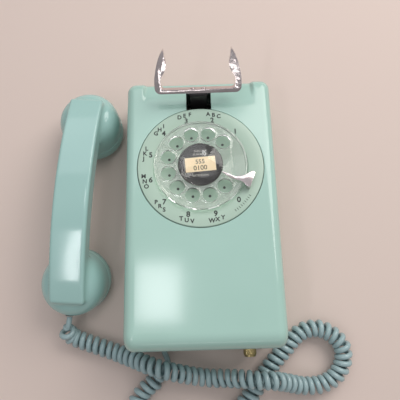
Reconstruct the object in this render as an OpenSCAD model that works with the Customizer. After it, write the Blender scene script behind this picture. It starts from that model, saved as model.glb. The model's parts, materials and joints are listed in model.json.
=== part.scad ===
// Rotary wall telephone lying on its back, with its handset off the hook and its curly cord.
// +X right, +Y to the top of the phone, +Z out of the front; the back of the base plate is z = 0.

/* [Housing] */
// Width of the housing
housing_w = 125; // [118:1:140]
// Height of the housing, bottom wall to top wall
housing_h = 226; // [220:1:240]
// Height of the front face above the wall at the dial centre
front_z = 64; // [62:1:74]
// Slope of the front face, deeper at the bottom
front_slope = 6.5; // [4:0.5:8]
// Wall thickness of the moulded housing
wall = 2.6; // [2:0.1:3.4]
// Radius of the bottom front edge
bottom_edge_r = 14; // [11:1:18]
// Radius of the top front edge
top_edge_r = 9; // [8:1:11]
// Radius of the two side front edges
side_edge_r = 8; // [6:0.5:8]
// Corner radius of the housing where it meets the wall
corner_r = 8; // [6:1:11]
// Width of the receiver recess in the top front edge
recess_w = 94; // [84:1:100]
// Length of the receiver recess down the front face
recess_l = 26; // [20:1:30]
// Roll-over radius of the receiver recess
recess_r = 45; // [36:1:60]
// Gap between the housing and the plates inside it
housing_gap = 0.4; // [0.3:0.1:0.8]

/* [Base plate] */
// Thickness of the steel base plate
plate_t = 2; // [1.5:0.1:2.6]
// Height of the upturned edge of the base plate
flange_h = 7; // [5:0.5:9]
// Distance between the left and right wall screws
screw_dx = 88.9; // [80:0.1:92]
// Distance between the upper and lower wall screws
screw_dy = 190.5; // [180:0.1:194]
// Radius of the wall screw holes
screw_hole_r = 2.5; // [2:0.1:3]

/* [Dial] */
// Radius of the number plate
dial_r = 52.2; // [50:0.1:54]
// Space between the top wall and the top of the number plate
dial_top_gap = 28; // [27:0.5:32]
// Width of the printed ring around the finger wheel
ring_w = 13.9; // [12:0.1:15]
// Thickness of the moulded number plate
number_t = 1.5; // [1.2:0.1:2]
// Thickness of the finger wheel
wheel_t = 2.6; // [2.2:0.1:3.2]
// Radius of a finger hole
finger_hole_r = 6.1; // [5.6:0.1:6.4]
// Distance from the wheel's edge to the finger-hole centres
hole_inset = 10.9; // [10.5:0.1:11.6]
// Radius of the number card
card_r = 18.4; // [16:0.1:19]
// Radius of the dial shaft
shaft_r = 3; // [2.5:0.1:3.5]
// Depth of the movement between the frame and the rear plate
movement_d = 15; // [14:0.5:17]

/* [Hook] */
// Half width of the cradle, to the outside of its arms
cradle_half_w = 36.2; // [32:0.1:38]
// Height of the cradle's bar
bar_h = 3.6; // [3:0.1:4.4]
// Depth of the cradle, from its front to its back
cradle_d = 5.4; // [4.6:0.1:6]
// Height of the cradle arms above the middle of the bar
arm_h = 34.5; // [30:0.5:38]
// Width of a cradle arm at its widest
leaf_w = 8; // [7:0.1:9]
// Distance that a cradle arm leans in up to its tip
arm_in = 8.4; // [6:0.1:10]
// Height of the cradle's bar above the front face
hook_reach = 13; // [12:0.5:16]

/* [Ringer] */
// Radius of a gong
gong_r = 24.5; // [22:0.1:25]
// Radius of the clapper's hammer ball
hammer_r = 4.4; // [3.8:0.1:5]
// Space between the hammer and a gong at rest
hammer_gap = 1.6; // [1.6:0.1:2]
// Radius of the volume knob
knob_r = 5.7; // [5:0.1:6.5]
// Length of the volume knob outside the housing
knob_l = 11; // [9:0.5:13]

/* [Handset] */
// Distance from the housing's side to the middle of the handset
handset_gap = 44.6; // [42:0.1:60]
// Distance of the handset's middle above the housing's middle
handset_y = 13.2; // [10:0.1:16]
// Turn of the lying handset, clockwise from above
handset_turn = 4.6; // [0:0.1:8]
// Distance between the middles of the two caps
caps_apart = 141; // [136:1:146]
// Radius of the receiver cap
receiver_r = 29; // [28:0.1:31]
// Radius of the transmitter cap
transmitter_r = 30; // [29:0.1:32]
// Tilt of the receiver cap
receiver_tilt = 9; // [6:1:12]
// Tilt of the transmitter cap
transmitter_tilt = 12; // [8:1:15]
// Height of the handle's back above the table at its middle
handle_h = 64; // [60:0.5:68]
// Width of the handle's back
handle_w = 29.5; // [27:0.5:32]
// Thickness of the handle
handle_t = 24; // [20:0.5:26]
// Radius of the handle's arched back
handle_arch_r = 228; // [200:1:260]

/* [Hidden] */

// Colours of the pieces
aqua = [0.62, 0.80, 0.76];
steel = [0.62, 0.63, 0.65];
bright = [0.80, 0.80, 0.82];
brass = [0.78, 0.64, 0.34];
black = [0.12, 0.12, 0.13];
clear = [0.85, 0.92, 0.90, 0.4];
cord_grey = [0.42, 0.56, 0.58];
copper = [0.66, 0.36, 0.22];

// Shared fits: a running shaft, a fixed seat, a general space and the amount a cut runs past a face
run_gap = 0.04;
seat_gap = 0.05;
free_gap = 0.3;
past = 1;
fine = 64;

// Housing: the rounded discs in its corners touch the front plane along its normal
disc_fn = 32;
rim_z = 0.6;
half_w = housing_w / 2;
half_h = housing_h / 2;
dial_y = half_h - dial_top_gap - dial_r;
slot_w = 21.4;
slot_inset = 11.5;
slot_top = half_h - slot_inset;

function front_at(y) = front_z - (y - dial_y) * tan(front_slope);
function disc_z(y, r) =
    front_z - ((y - dial_y) * sin(front_slope) + r) / cos(front_slope);

// Corner arcs of a rounded rectangle, as one outline
corner_step = 15;
function rounded_rect(w, h, r) = [
    for (c = [[1, 1, 0], [-1, 1, 90], [-1, -1, 180], [1, -1, 270]], a = [0:corner_step:90])
        [c.x * (w / 2 - r) + r * cos(a + c.z), c.y * (h / 2 - r) + r * sin(a + c.z)]];

// Bottom wall fittings: housing screw in the middle, volume knob right, handset cord left
housing_screw_z = 10;
housing_screw_r = 2;
housing_screw_head_r = 4;
volume_x = 38;
volume_z = 14;
volume_shaft_r = 2;
volume_hole_gap = 2;
cord_hole_x = -37;
cord_hole_z = 9;
cord_hole_r = 4.5;
lug_w = 12;
lug_t = 2.4;
plate_w = housing_w - 2 * (wall + housing_gap);
plate_h = housing_h - 2 * (wall + housing_gap);
plate_corner_r = corner_r - wall;

// Dial stack, heights above the front plane
ring_proud = 0.9;
ring_drop = 0.6;
well_z = -1.9;
plate_gap = 0.5;
wheel_r = dial_r - ring_w;
hole_circle_r = wheel_r - hole_inset;
hole_first = 45;
hole_step = 30;
wheel_z = 1.6;
wheel_top = wheel_z + wheel_t;
wheel_rim_w = 1.6;
wheel_rim_h = 0.8;
lip_w = 0.85;
lip_h = 0.5;
card_t = 0.4;
card_seat_t = 1.6;
card_z = wheel_z + card_seat_t;
cover_t = wheel_top - card_z - card_t + 0.3;
cover_gap = 0.3;
boss_r = shaft_r + 3.8;
collar_t = 0.6;
collar_r = shaft_r + 4;
collar_gap = 0.1;
frame_t = 3;
frame_top = well_z - number_t - 1;
frame_z = frame_top - frame_t;
frame_r = wheel_r - 1.3;
rear_t = 1.6;
rear_top = frame_z - movement_d;
stop_angle = -21;
stop_z = wheel_top + wheel_rim_h + 1;

// Gear train: 72 teeth drive 12, so the cam turns six times for one turn of the wheel
gear_module = 0.5;
main_teeth = 72;
pinion_teeth = 12;
worm_teeth = 24;
pressure_angle = 20;
backlash = 0.16;
gear_gap = 1.6;
gear_t = 1.4;
gear_top = frame_z - gear_gap;
pulse_x = -(main_teeth + pinion_teeth) / 2 * gear_module;
pulse_r = 1.2;
cam_t = 1.4;
cam_z = gear_top - gear_t - 3.4;
worm_wheel_t = 2;
worm_wheel_z = cam_z - 4.4;
worm_r = 1.4;
worm_mid_z = worm_wheel_z + worm_wheel_t / 2;
worm_tip_r = (worm_teeth / 2 + 0.8) * gear_module;
governor_x = pulse_x - worm_tip_r - worm_r - free_gap;
governor_shaft_r = 0.9;
governor_cup_r = 8.5;
governor_weight_r = 7.2;
post_circle_r = 26;
post_r = 3;
post_angles = [30, 150, 270];
movement_turn = 90;

function gear_half_angle(teeth, r) =
    let (pitch_r = teeth * gear_module / 2)
    let (base_r = pitch_r * cos(pressure_angle))
    let (at = r <= base_r ? 0 : acos(base_r / r))
    let (rise = (tan(pressure_angle) - tan(at)) * 180 / PI - pressure_angle + at)
    90 / teeth - backlash / 4 / pitch_r * 180 / PI + rise;
function gear_points(teeth, radii) = [
    for (k = [0:teeth - 1], side = [-1, 1], i = [0:len(radii) - 1])
        let (r = radii[side < 0 ? i : len(radii) - 1 - i])
        let (a = k * 360 / teeth + side * gear_half_angle(teeth, r))
        [r * cos(a), r * sin(a)]];

// Hook: the cradle's plane leans halfway between up and out
cradle_tilt = 45;
hook_inset = 16;
hook_y = half_h - hook_inset;
hook_z = front_at(hook_y) + hook_reach;
pivot_inset = 23;
pivot_y = half_h - pivot_inset;
pivot_z = 26;
pin_r = 2;
lever_w = 15;
lever_t = 4.4;
lever_boss_r = 5;
cradle_corner_r = 5;
cheek_x = 11;
cheek_t = 1.6;
rivet_x = 4.5;
rivet_r = 1.2;
rivet_in = 1.8;
tail_l = 12;

// Right arm from the bar to its tip: each place is a share of the height, of the lean and of the width
arm_shape = smooth_route([[0.16, 0, 0.66], [0.32, 0.04, 0.62], [0.44, 0.13, 0.84], [0.56, 0.24, 1],
    [0.68, 0.38, 0.92], [0.84, 0.62, 0.56], [1, 1, 0.1]], 3);
arm_outside = [for (q = arm_shape) [cradle_half_w - q.y * arm_in, q.x * arm_h]];
arm_inside = [for (q = arm_shape) [cradle_half_w - q.y * arm_in - q.z * leaf_w, q.x * arm_h]];
function backward(list) = [for (i = [len(list) - 1:-1:0]) list[i]];
function flipped(list) = [for (p = list) [-p.x, p.y]];

// Ringer
ringer_t = 1.6;
ringer_z = plate_t + ringer_t;
gong_x = gong_r + hammer_r + hammer_gap;
gong_edge = 14.5;
gong_y = -half_h + gong_edge + gong_r;
gong_t = 1.6;
gong_rim_z = 12;
gong_top_z = 22;
gong_post_r = 3.6;
gong_screw_r = 2;
gong_screw_l = 8;
clapper_z = 17;
clapper_pin_r = 1.5;
clapper_space = 3.5;
clapper_y = gong_y + gong_r + clapper_space;
armature_near = 0.6;
armature_far = 3;
armature_gap = 2;
pole_low_y = clapper_y + armature_far + armature_gap;
coil_l = 44;
coil_r = 11;
bobbin_r = coil_r + 1.4;
coil_space = 0.6;
coil_y = pole_low_y + bobbin_r + coil_space;
ringer_low_y = -plate_h / 2 + plate_t + past;
ringer_high_y = coil_y + bobbin_r + coil_space;
core_r = 4.5;
pole_t = 2;

// Wiring opening in the base plate, between the ringer and the network
wiring_w = 44;
wiring_h = 14;
wiring_space = 2;
wiring_low_y = ringer_high_y + wiring_space;
wiring_high_y = wiring_low_y + wiring_h;

// Handset, in its own frame: y along the handle, cap faces down
handset_x = -(half_w + handset_gap);
receiver_y = caps_apart / 2 + 0.5;
transmitter_y = receiver_y - caps_apart;
cap_h = 11;
cap_face_t = 2.4;
cap_edge_r = 1.6;
cap_bevel = 0.4;
collar_t_handset = 2.6;
cap_wall = 3.2;
cup_h = 45;
cup_fullness = 0.76;
handle_end = 23.4;
unit_h = 15;
grommet_x = -2;
grommet_z = 24;
grommet_r = 3.6;

// Cord: the tails are the bare strand, the coil is its whole outer diameter
strand_d = 4.6;
coil_d = 13.6;
tail_handset_route = [[-117.2, -87.4, 24], [-117.4, -90, 24], [-118, -93, 22], [-119, -96, 19]];
coil_route = [[-119, -96, 19], [-121, -101, 13], [-117, -106, 8], [-108, -110, 7], [-94, -115, 7],
    [-77, -121, 8], [-61, -126, 14], [-48, -130, 20], [-38, -133, 22], [-28, -136, 20], [-14, -140, 15],
    [2, -143, 12], [18, -143, 15], [32, -143, 20], [44, -144, 22], [56, -145, 21], [68, -148, 15],
    [82, -152, 9], [98, -152, 7], [111, -146, 7], [119, -134, 8], [119, -120, 9], [111, -110, 8],
    [100, -105, 7], [88, -106, 7], [78, -112, 7], [69, -122, 7], [60, -131, 7], [52, -140, 7],
    [44, -151, 7], [35, -162, 7], [21, -175, 7], [0, -185, 7], [-24, -189, 7], [-47, -185, 7],
    [-60, -175, 7], [-62, -164, 7], [-57, -155, 7], [-49, -148, 7], [-38, -140, 7]];
tail_base_route = [[-38, -140, 7], [-34, -134, 5], [-35, -127, 6], [-37, -121, 9], [-37, -118.2, 9]];

function curve_point(a, b, c, d, t) =
    0.5 * (2 * b + (c - a) * t + (2 * a - 5 * b + 4 * c - d) * t * t + (3 * b - a - 3 * c + d) * t * t * t);
function smooth_route(p, steps) = concat(
    [for (i = [0:len(p) - 2], k = [0:steps - 1])
        curve_point(p[max(i - 1, 0)], p[i], p[i + 1], p[min(i + 2, len(p) - 1)], k / steps)],
    [p[len(p) - 1]]);
function unit(v) = v / norm(v);

// Round tube along a route that is nowhere upright
module tube(route, d, steps, sides) {
    line = smooth_route(route, steps);
    last = len(line) - 1;
    rings = [for (i = [0:last])
        let (along = unit(line[min(i + 1, last)] - line[max(i - 1, 0)]))
        let (across = unit(cross([0, 0, 1], along)))
        let (up = cross(along, across))
        for (k = [0:sides - 1])
            line[i] + d / 2 * (across * cos(k * 360 / sides) + up * sin(k * 360 / sides))];
    skin = [for (i = [0:last - 1], k = [0:sides - 1])
        [i * sides + k, (i + 1) * sides + k, (i + 1) * sides + (k + 1) % sides, i * sides + (k + 1) % sides]];
    start = [for (k = [0:sides - 1]) k];
    end = [for (k = [sides - 1:-1:0]) last * sides + k];
    polyhedron(rings, concat([start], skin, [end]), convexity = 6);
}

// Coiled wire around z, from one height to another
module coil_wire(r, wire_r, turns, low, high) {
    per_turn = 12;
    sides = 6;
    count = turns * per_turn;
    rings = [for (i = [0:count], k = [0:sides - 1])
        let (a = i * 360 / per_turn)
        let (reach = r + wire_r * cos(k * 360 / sides))
        [reach * cos(a), reach * sin(a), low + (high - low) * i / count + wire_r * sin(k * 360 / sides)]];
    skin = [for (i = [0:count - 1], k = [0:sides - 1])
        [i * sides + k, i * sides + (k + 1) % sides, (i + 1) * sides + (k + 1) % sides, (i + 1) * sides + k]];
    start = [for (k = [sides - 1:-1:0]) k];
    end = [for (k = [0:sides - 1]) count * sides + k];
    polyhedron(rings, concat([start], skin, [end]), convexity = 6);
}

module cyl(r, low, high) {
    translate([0, 0, low])
        cylinder(r = r, h = high - low, $fn = fine);
}

// Round bar along +Y from y = low to y = high
module bar_y(r, low, high) {
    translate([0, low, 0])
        rotate([-90, 0, 0])
            cylinder(r = r, h = high - low, $fn = fine);
}

// Round bar along +X from x = low to x = high
module bar_x(r, low, high) {
    translate([low, 0, 0])
        rotate([0, 90, 0])
            cylinder(r = r, h = high - low, $fn = fine);
}

// Box between two corners
module block(low, high) {
    translate(low)
        cube(high - low);
}

// Side-view outline in (y, z), extruded across from x = low to x = high
module side_profile(points, low, high) {
    translate([low, 0, 0])
        rotate([90, 0, 90])
            linear_extrude(high - low)
                polygon(points);
}

module at_dial() {
    translate([0, dial_y, front_z])
        rotate([-front_slope, 0, 0])
            children();
}

module at_movement() {
    at_dial()
        rotate([0, 0, movement_turn])
            children();
}

module at_hook() {
    translate([0, hook_y, hook_z])
        rotate([cradle_tilt, 0, 0])
            children();
}

module at_handset() {
    translate([handset_x, handset_y, 0])
        rotate([0, 0, -handset_turn])
            children();
}

// Cap frames: z along the cup's axis, the cap's outer rim on the table
module at_receiver() {
    translate([0, receiver_y, (receiver_r - cap_edge_r) * sin(receiver_tilt)])
        rotate([-receiver_tilt, 0, 0])
            children();
}

module at_transmitter() {
    translate([0, transmitter_y, (transmitter_r - cap_edge_r) * sin(transmitter_tilt)])
        rotate([transmitter_tilt, 0, 0])
            children();
}

// Disc across the housing with a rounded rim, its axis along x
module corner_disc(r, rim_r, inset) {
    rotate([-front_slope, 0, 0])
        rotate([0, 90, 0])
            rotate_extrude($fn = disc_fn)
                translate([r - rim_r, 0])
                    intersection() {
                        circle(r = rim_r - inset, $fn = disc_fn);
                        translate([0, -rim_r])
                            square([rim_r, 2 * rim_r]);
                    }
}

// Moulded form of the housing, inset by a wall thickness
module housing_form(inset, low) {
    top_y = half_h - top_edge_r;
    bottom_y = bottom_edge_r - half_h;
    hull() {
        for (side = [-1, 1]) {
            translate([side * (half_w - side_edge_r), top_y, disc_z(top_y, top_edge_r)])
                corner_disc(top_edge_r, side_edge_r, inset);
            translate([side * (half_w - side_edge_r), bottom_y, disc_z(bottom_y, bottom_edge_r)])
                corner_disc(bottom_edge_r, side_edge_r, inset);
        }
        translate([0, 0, low])
            linear_extrude(past)
                polygon(rounded_rect(housing_w - 2 * inset, housing_h - 2 * inset, corner_r - inset));
    }
}

// Space cut out of the top front edge for the receiver, grown by the wall on the inside
module recess_space(grow) {
    start = half_h - recess_l;
    translate([0, start, front_at(start)])
        rotate([-front_slope, 0, 0])
            difference() {
                block([-recess_w / 2 - grow, 0, -recess_r], [recess_w / 2 + grow, 2 * recess_l, recess_r]);
                translate([0, 0, -recess_r])
                    bar_x(recess_r - grow, -recess_w, recess_w);
            }
}

module housing() {
    inside_y = -half_h + corner_r;
    color(aqua)
        difference() {
            housing_form(0, rim_z);
            recess_space(0);
            difference() {
                housing_form(wall, rim_z - past);
                recess_space(wall);
            }
            at_dial()
                cyl(dial_r + plate_gap, -front_z / 2, front_z);
            block([-slot_w / 2, dial_y, front_at(half_h) - recess_r / 2],
                [slot_w / 2, slot_top, 2 * front_z]);
            translate([0, 0, housing_screw_z])
                bar_y(housing_screw_r + free_gap, -half_h - past, inside_y);
            translate([volume_x, 0, volume_z])
                bar_y(volume_shaft_r + volume_hole_gap, -half_h - past, inside_y);
            translate([cord_hole_x, 0, cord_hole_z])
                bar_y(cord_hole_r + seat_gap, -half_h - past, inside_y);
        }
}

module base_plate() {
    lug_y = -plate_h / 2 + lug_t;
    tray = rounded_rect(plate_w, plate_h, plate_corner_r);
    tray_inside = rounded_rect(plate_w - 2 * plate_t, plate_h - 2 * plate_t, plate_corner_r - plate_t);
    color(steel)
        difference() {
            union() {
                linear_extrude(plate_t)
                    polygon(tray);
                difference() {
                    linear_extrude(plate_t + flange_h)
                        polygon(tray);
                    translate([0, 0, -past])
                        linear_extrude(plate_t + flange_h + 2 * past)
                            polygon(tray_inside);
                    block([-half_w, -half_h, plate_t], [half_w, -plate_h / 2 + 2 * plate_t, front_z]);
                }
                block([-lug_w / 2, lug_y - lug_t, 0], [lug_w / 2, lug_y, housing_screw_z + lug_w / 2]);
            }
            for (x = [-screw_dx / 2, screw_dx / 2], y = [-screw_dy / 2, screw_dy / 2])
                translate([x, y, 0])
                    cyl(screw_hole_r, -past, plate_t + past);
            block([-wiring_w / 2, wiring_low_y, -past], [wiring_w / 2, wiring_high_y, plate_t + past]);
            translate([0, 0, housing_screw_z])
                bar_y(housing_screw_r + run_gap, -half_h, lug_y + past);
        }
}

module housing_screw() {
    head_t = 2.4;
    slot_half = 0.5;
    slot_d = 1;
    color(steel)
        translate([0, 0, housing_screw_z])
            difference() {
                union() {
                    bar_y(housing_screw_r, -half_h - past, -plate_h / 2 + 2 * lug_t);
                    bar_y(housing_screw_head_r, -half_h - head_t, -half_h);
                }
                block([-housing_screw_head_r, -half_h - head_t - past, -slot_half],
                    [housing_screw_head_r, -half_h - head_t + slot_d, slot_half]);
            }
}

// Bracket: two sheet legs with feet on the base plate and ears under the dial frame
bracket_half_y = 14;
bracket_x = frame_r + 8;
bracket_t = 2;
foot_l = 9;
ear_l = 6;
foot_screw_r = 1.5;
ear_z = frame_z - bracket_t;
function dial_yz(y, z) = [
    dial_y + y * cos(front_slope) + z * sin(front_slope),
    front_z - y * sin(front_slope) + z * cos(front_slope)];

module bracket_leg() {
    low = dial_yz(-bracket_half_y, ear_z + bracket_t / 2);
    high = dial_yz(bracket_half_y, ear_z + bracket_t / 2);
    side_profile([[low.x, plate_t], [high.x, plate_t], high, low], bracket_x - bracket_t, bracket_x);
    at_dial()
        block([frame_r - ear_l, -bracket_half_y, ear_z], [bracket_x, bracket_half_y, frame_z]);
    block([bracket_x - bracket_t, low.x, plate_t], [bracket_x + foot_l, high.x, plate_t + bracket_t]);
}

module foot_screw_places() {
    for (side = [-1, 1], y = [-bracket_half_y / 2, bracket_half_y / 2])
        translate([side * (bracket_x + foot_l / 2), dial_y + y, 0])
            children();
}

module dial_bracket() {
    color(steel)
        difference() {
            union() {
                bracket_leg();
                mirror([1, 0, 0])
                    bracket_leg();
            }
            foot_screw_places()
                cyl(foot_screw_r + seat_gap, 0, plate_t + 2 * bracket_t);
        }
}

module bracket_screws() {
    head_r = 2.8;
    head_t = 1.8;
    color(steel)
        foot_screw_places() {
            cyl(foot_screw_r, plate_t, plate_t + bracket_t + past);
            cyl(head_r, plate_t + bracket_t, plate_t + bracket_t + head_t);
        }
}

module dial_frame() {
    stud_r = 3.5;
    stud_out = 4;
    color(steel)
        at_movement()
            difference() {
                union() {
                    cyl(frame_r, frame_z, frame_top);
                    cyl(boss_r, frame_z, wheel_z - collar_t - collar_gap);
                    for (a = post_angles)
                        rotate([0, 0, a])
                            translate([post_circle_r + stud_out, 0, 0])
                                cyl(stud_r, frame_top - past, well_z - number_t);
                }
                cyl(shaft_r + run_gap, frame_z - past, wheel_z);
                translate([pulse_x, 0, 0])
                    cyl(pulse_r + run_gap, frame_z - past, frame_top + past);
            }
}

// Rear plate: a hub with arms to the three posts and to the pulse shaft's bearing
module dial_rear_plate() {
    rear_z = rear_top - rear_t;
    arm_w = 8;
    color(brass)
        at_movement()
            difference() {
                union() {
                    cyl(boss_r + 2, rear_z, rear_top);
                    for (a = post_angles)
                        rotate([0, 0, a]) {
                            block([0, -arm_w / 2, rear_z], [post_circle_r, arm_w / 2, rear_top]);
                            translate([post_circle_r, 0, 0]) {
                                cyl(arm_w / 2, rear_z, rear_top);
                                cyl(post_r, rear_z, frame_z);
                            }
                        }
                    block([pulse_x, -arm_w / 2, rear_z], [0, arm_w / 2, rear_top]);
                    translate([pulse_x, 0, 0])
                        cyl(arm_w / 2, rear_z, rear_top);
                }
                cyl(shaft_r + run_gap, rear_z - past, rear_top + past);
                translate([pulse_x, 0, 0])
                    cyl(pulse_r + run_gap, rear_z - past, rear_top + past);
            }
}

module number_plate() {
    bore_r = boss_r + 1.4;
    well_space = 0.7;
    well_draft = 0.4;
    step_r = wheel_r + well_space;
    slope_r = step_r + well_draft;
    inner_z = ring_proud - ring_drop;
    skirt_z = -3;
    color(aqua)
        at_dial()
            rotate_extrude($fn = 2 * fine)
                polygon([[bore_r, well_z], [step_r, well_z], [slope_r, inner_z],
                    [dial_r - ring_drop, ring_proud], [dial_r, inner_z], [dial_r, skirt_z],
                    [dial_r - number_t, skirt_z], [dial_r - number_t, inner_z - number_t],
                    [slope_r + number_t, inner_z - number_t], [step_r + number_t, well_z - number_t],
                    [bore_r, well_z - number_t]]);
}

// Finger stop: a post outside the wheel and a blade that sweeps in over it to a point;
// each place on the sweep is its distance out, its shift sideways and the half width there
module finger_stop() {
    post_w = 13;
    post_d = 3;
    blade_t = 1.4;
    post_x = wheel_r + 3.2;
    span = post_x - card_r - 1;
    blade_top = stop_z + blade_t;
    sweep = smooth_route([[post_x + post_d, 0, post_w / 2], [post_x, 0, post_w / 2],
        [post_x - 0.22 * span, -1.5, 2.6], [post_x - 0.52 * span, -3.1, 1.2],
        [post_x - 0.75 * span, -2.6, 1], [post_x - span, -1.5, 0.3]], 4);
    color(bright)
        at_dial()
            rotate([0, 0, stop_angle]) {
                block([post_x, -post_w / 2, ring_proud - ring_drop / 2],
                    [post_x + post_d, post_w / 2, blade_top]);
                translate([0, 0, stop_z])
                    linear_extrude(blade_t)
                        polygon(concat([for (q = sweep) [q.x, q.y - q.z]],
                            backward([for (q = sweep) [q.x, q.y + q.z]])));
            }
}

module finger_hole_places() {
    for (k = [0:9])
        rotate([0, 0, hole_first + k * hole_step])
            translate([hole_circle_r, 0, 0])
                children();
}

module finger_wheel() {
    color(clear)
        at_dial()
            difference() {
                union() {
                    cyl(wheel_r, wheel_z, wheel_top);
                    difference() {
                        cyl(wheel_r, wheel_z, wheel_top + wheel_rim_h);
                        cyl(wheel_r - wheel_rim_w, wheel_z, wheel_top + wheel_rim_h + past);
                    }
                    finger_hole_places()
                        cyl(finger_hole_r + lip_w, wheel_z, wheel_top + lip_h);
                }
                finger_hole_places()
                    cyl(finger_hole_r, wheel_z - past, wheel_top + 2 * past);
                cyl(card_r + cover_gap, card_z, wheel_top + 2 * past);
                cyl(shaft_r + seat_gap, wheel_z - past, wheel_top);
            }
}

module number_card() {
    color(black)
        at_dial()
            cyl(card_r, card_z, card_z + card_t);
}

module card_cover() {
    edge = 0.4;
    cover_z = card_z + card_t;
    color(clear)
        at_dial()
            rotate_extrude($fn = fine)
                polygon([[0, cover_z], [card_r, cover_z], [card_r, cover_z + cover_t - edge],
                    [card_r - edge, cover_z + cover_t], [0, cover_z + cover_t]]);
}

module dial_shaft() {
    color(steel)
        at_dial() {
            cyl(shaft_r, rear_top - rear_t - past, card_z);
            cyl(collar_r, wheel_z - collar_t, wheel_z);
        }
}

module main_gear() {
    pitch_r = main_teeth * gear_module / 2;
    radii = [pitch_r - 1.3 * gear_module, pitch_r, pitch_r + 0.65 * gear_module];
    hub_r = shaft_r + 3;
    color(brass)
        at_movement()
            difference() {
                union() {
                    translate([0, 0, gear_top - gear_t])
                        linear_extrude(gear_t)
                            polygon(gear_points(main_teeth, radii));
                    cyl(hub_r, gear_top - gear_t, frame_z - free_gap);
                }
                cyl(shaft_r + seat_gap, gear_top - gear_t - past, frame_z + past);
            }
}

module return_spring() {
    wire_r = 0.5;
    turns = 6;
    low = rear_top + wire_r + free_gap;
    high = gear_top - gear_t - wire_r - free_gap;
    color(steel)
        at_movement()
            coil_wire(shaft_r + 2, wire_r, turns, low, high);
}

module pulse_pinion() {
    pitch_r = pinion_teeth * gear_module / 2;
    radii = [pitch_r - 1.1 * gear_module, pitch_r - 0.36 * gear_module, pitch_r,
        pitch_r + 0.5 * gear_module, pitch_r + 0.9 * gear_module];
    extra_t = 0.2;
    color(steel)
        at_movement()
            translate([pulse_x, 0, 0]) {
                cyl(pulse_r, rear_top - rear_t, frame_top);
                translate([0, 0, gear_top - gear_t - extra_t])
                    linear_extrude(gear_t + 2 * extra_t)
                        rotate([0, 0, 180 / pinion_teeth])
                            polygon(gear_points(pinion_teeth, radii));
            }
}

// Two-lobed cam: the overlap of two round discs
module pulse_cam() {
    disc_r = 6;
    shift = 3.4;
    color(black)
        at_movement()
            translate([pulse_x, 0, 0])
                difference() {
                    intersection() {
                        translate([shift, 0, 0])
                            cyl(disc_r, cam_z, cam_z + cam_t);
                        translate([-shift, 0, 0])
                            cyl(disc_r, cam_z, cam_z + cam_t);
                    }
                    cyl(pulse_r + seat_gap, cam_z - past, cam_z + cam_t + past);
                }
}

module worm_wheel() {
    pitch_r = worm_teeth * gear_module / 2;
    radii = [pitch_r - 1.2 * gear_module, pitch_r, worm_tip_r];
    color(black)
        at_movement()
            translate([pulse_x, 0, 0])
                difference() {
                    translate([0, 0, worm_wheel_z])
                        linear_extrude(worm_wheel_t)
                            polygon(gear_points(worm_teeth, radii));
                    cyl(pulse_r + seat_gap, worm_wheel_z - past, worm_wheel_z + worm_wheel_t + past);
                }
}

// Governor: lugs and a cup hang from the dial frame, the rotor spins across the movement
lug_half_w = 2.5;
lug_near = worm_tip_r + 0.8;
lug_far = lug_near + 2.4;
cup_space = 2;
cup_l = 8;
cup_open = -lug_far - cup_space;
cup_end = cup_open - cup_l;
cup_floor = 1.2;

module governor_bracket() {
    cup_wall = 0.8;
    color(steel)
        at_movement()
            translate([governor_x, 0, 0])
                difference() {
                    union() {
                        for (y = [lug_near, -lug_far])
                            block([-lug_half_w, y, worm_mid_z - lug_half_w],
                                [lug_half_w, y + lug_far - lug_near, frame_z]);
                        difference() {
                            translate([0, 0, worm_mid_z])
                                bar_y(governor_cup_r, cup_end, cup_open);
                            translate([0, 0, worm_mid_z])
                                bar_y(governor_cup_r - cup_wall, cup_end + cup_floor, cup_open + past);
                        }
                        block([-lug_half_w, cup_end, worm_mid_z + governor_cup_r - cup_wall],
                            [lug_half_w, cup_end + cup_floor, frame_z]);
                    }
                    translate([0, 0, worm_mid_z])
                        bar_y(governor_shaft_r + run_gap, cup_end - past, lug_far + past);
                }
}

module governor_rotor() {
    hub_r = 2.2;
    weight_in = 4.8;
    weight_half = 3.4;
    low = cup_end + cup_floor + 0.6;
    high = cup_open - 0.8;
    arm_half = 1.2;
    worm_half = lug_near - 0.4;
    color(brass)
        at_movement()
            translate([governor_x, 0, worm_mid_z]) {
                bar_y(governor_shaft_r, cup_end, lug_far + past);
                bar_y(worm_r, -worm_half, worm_half);
                bar_y(hub_r, low, high);
                intersection() {
                    difference() {
                        bar_y(governor_weight_r, low, high);
                        bar_y(weight_in, low - past, high + past);
                    }
                    block([-governor_weight_r, low - past, -weight_half],
                        [governor_weight_r, high + past, weight_half]);
                }
                block([-weight_in - past, low, -arm_half], [weight_in + past, high, arm_half]);
            }
}

// Contact springs beside the cam, on a block that stands on the rear plate
module pulse_contacts() {
    leaf_t = 0.4;
    leaf_gap = 1.6;
    leaf_y = 6;
    leaf_past = 5;
    leaf_under = 0.6;
    block_w = 5.5;
    block_d = 4.4;
    block_x = -9.5;
    block_y = 5.2;
    block_low = [block_x - block_w, block_y, rear_top];
    block_high = [block_x, block_y + block_d, cam_z + cam_t + leaf_under];
    color(black)
        at_movement()
            block(block_low, block_high);
    color(copper)
        at_movement()
            for (k = [0, 1])
                block([pulse_x - leaf_past, leaf_y + k * leaf_gap, cam_z - leaf_under],
                    [block_low.x, leaf_y + k * leaf_gap + leaf_t, cam_z + cam_t]);
}

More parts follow.
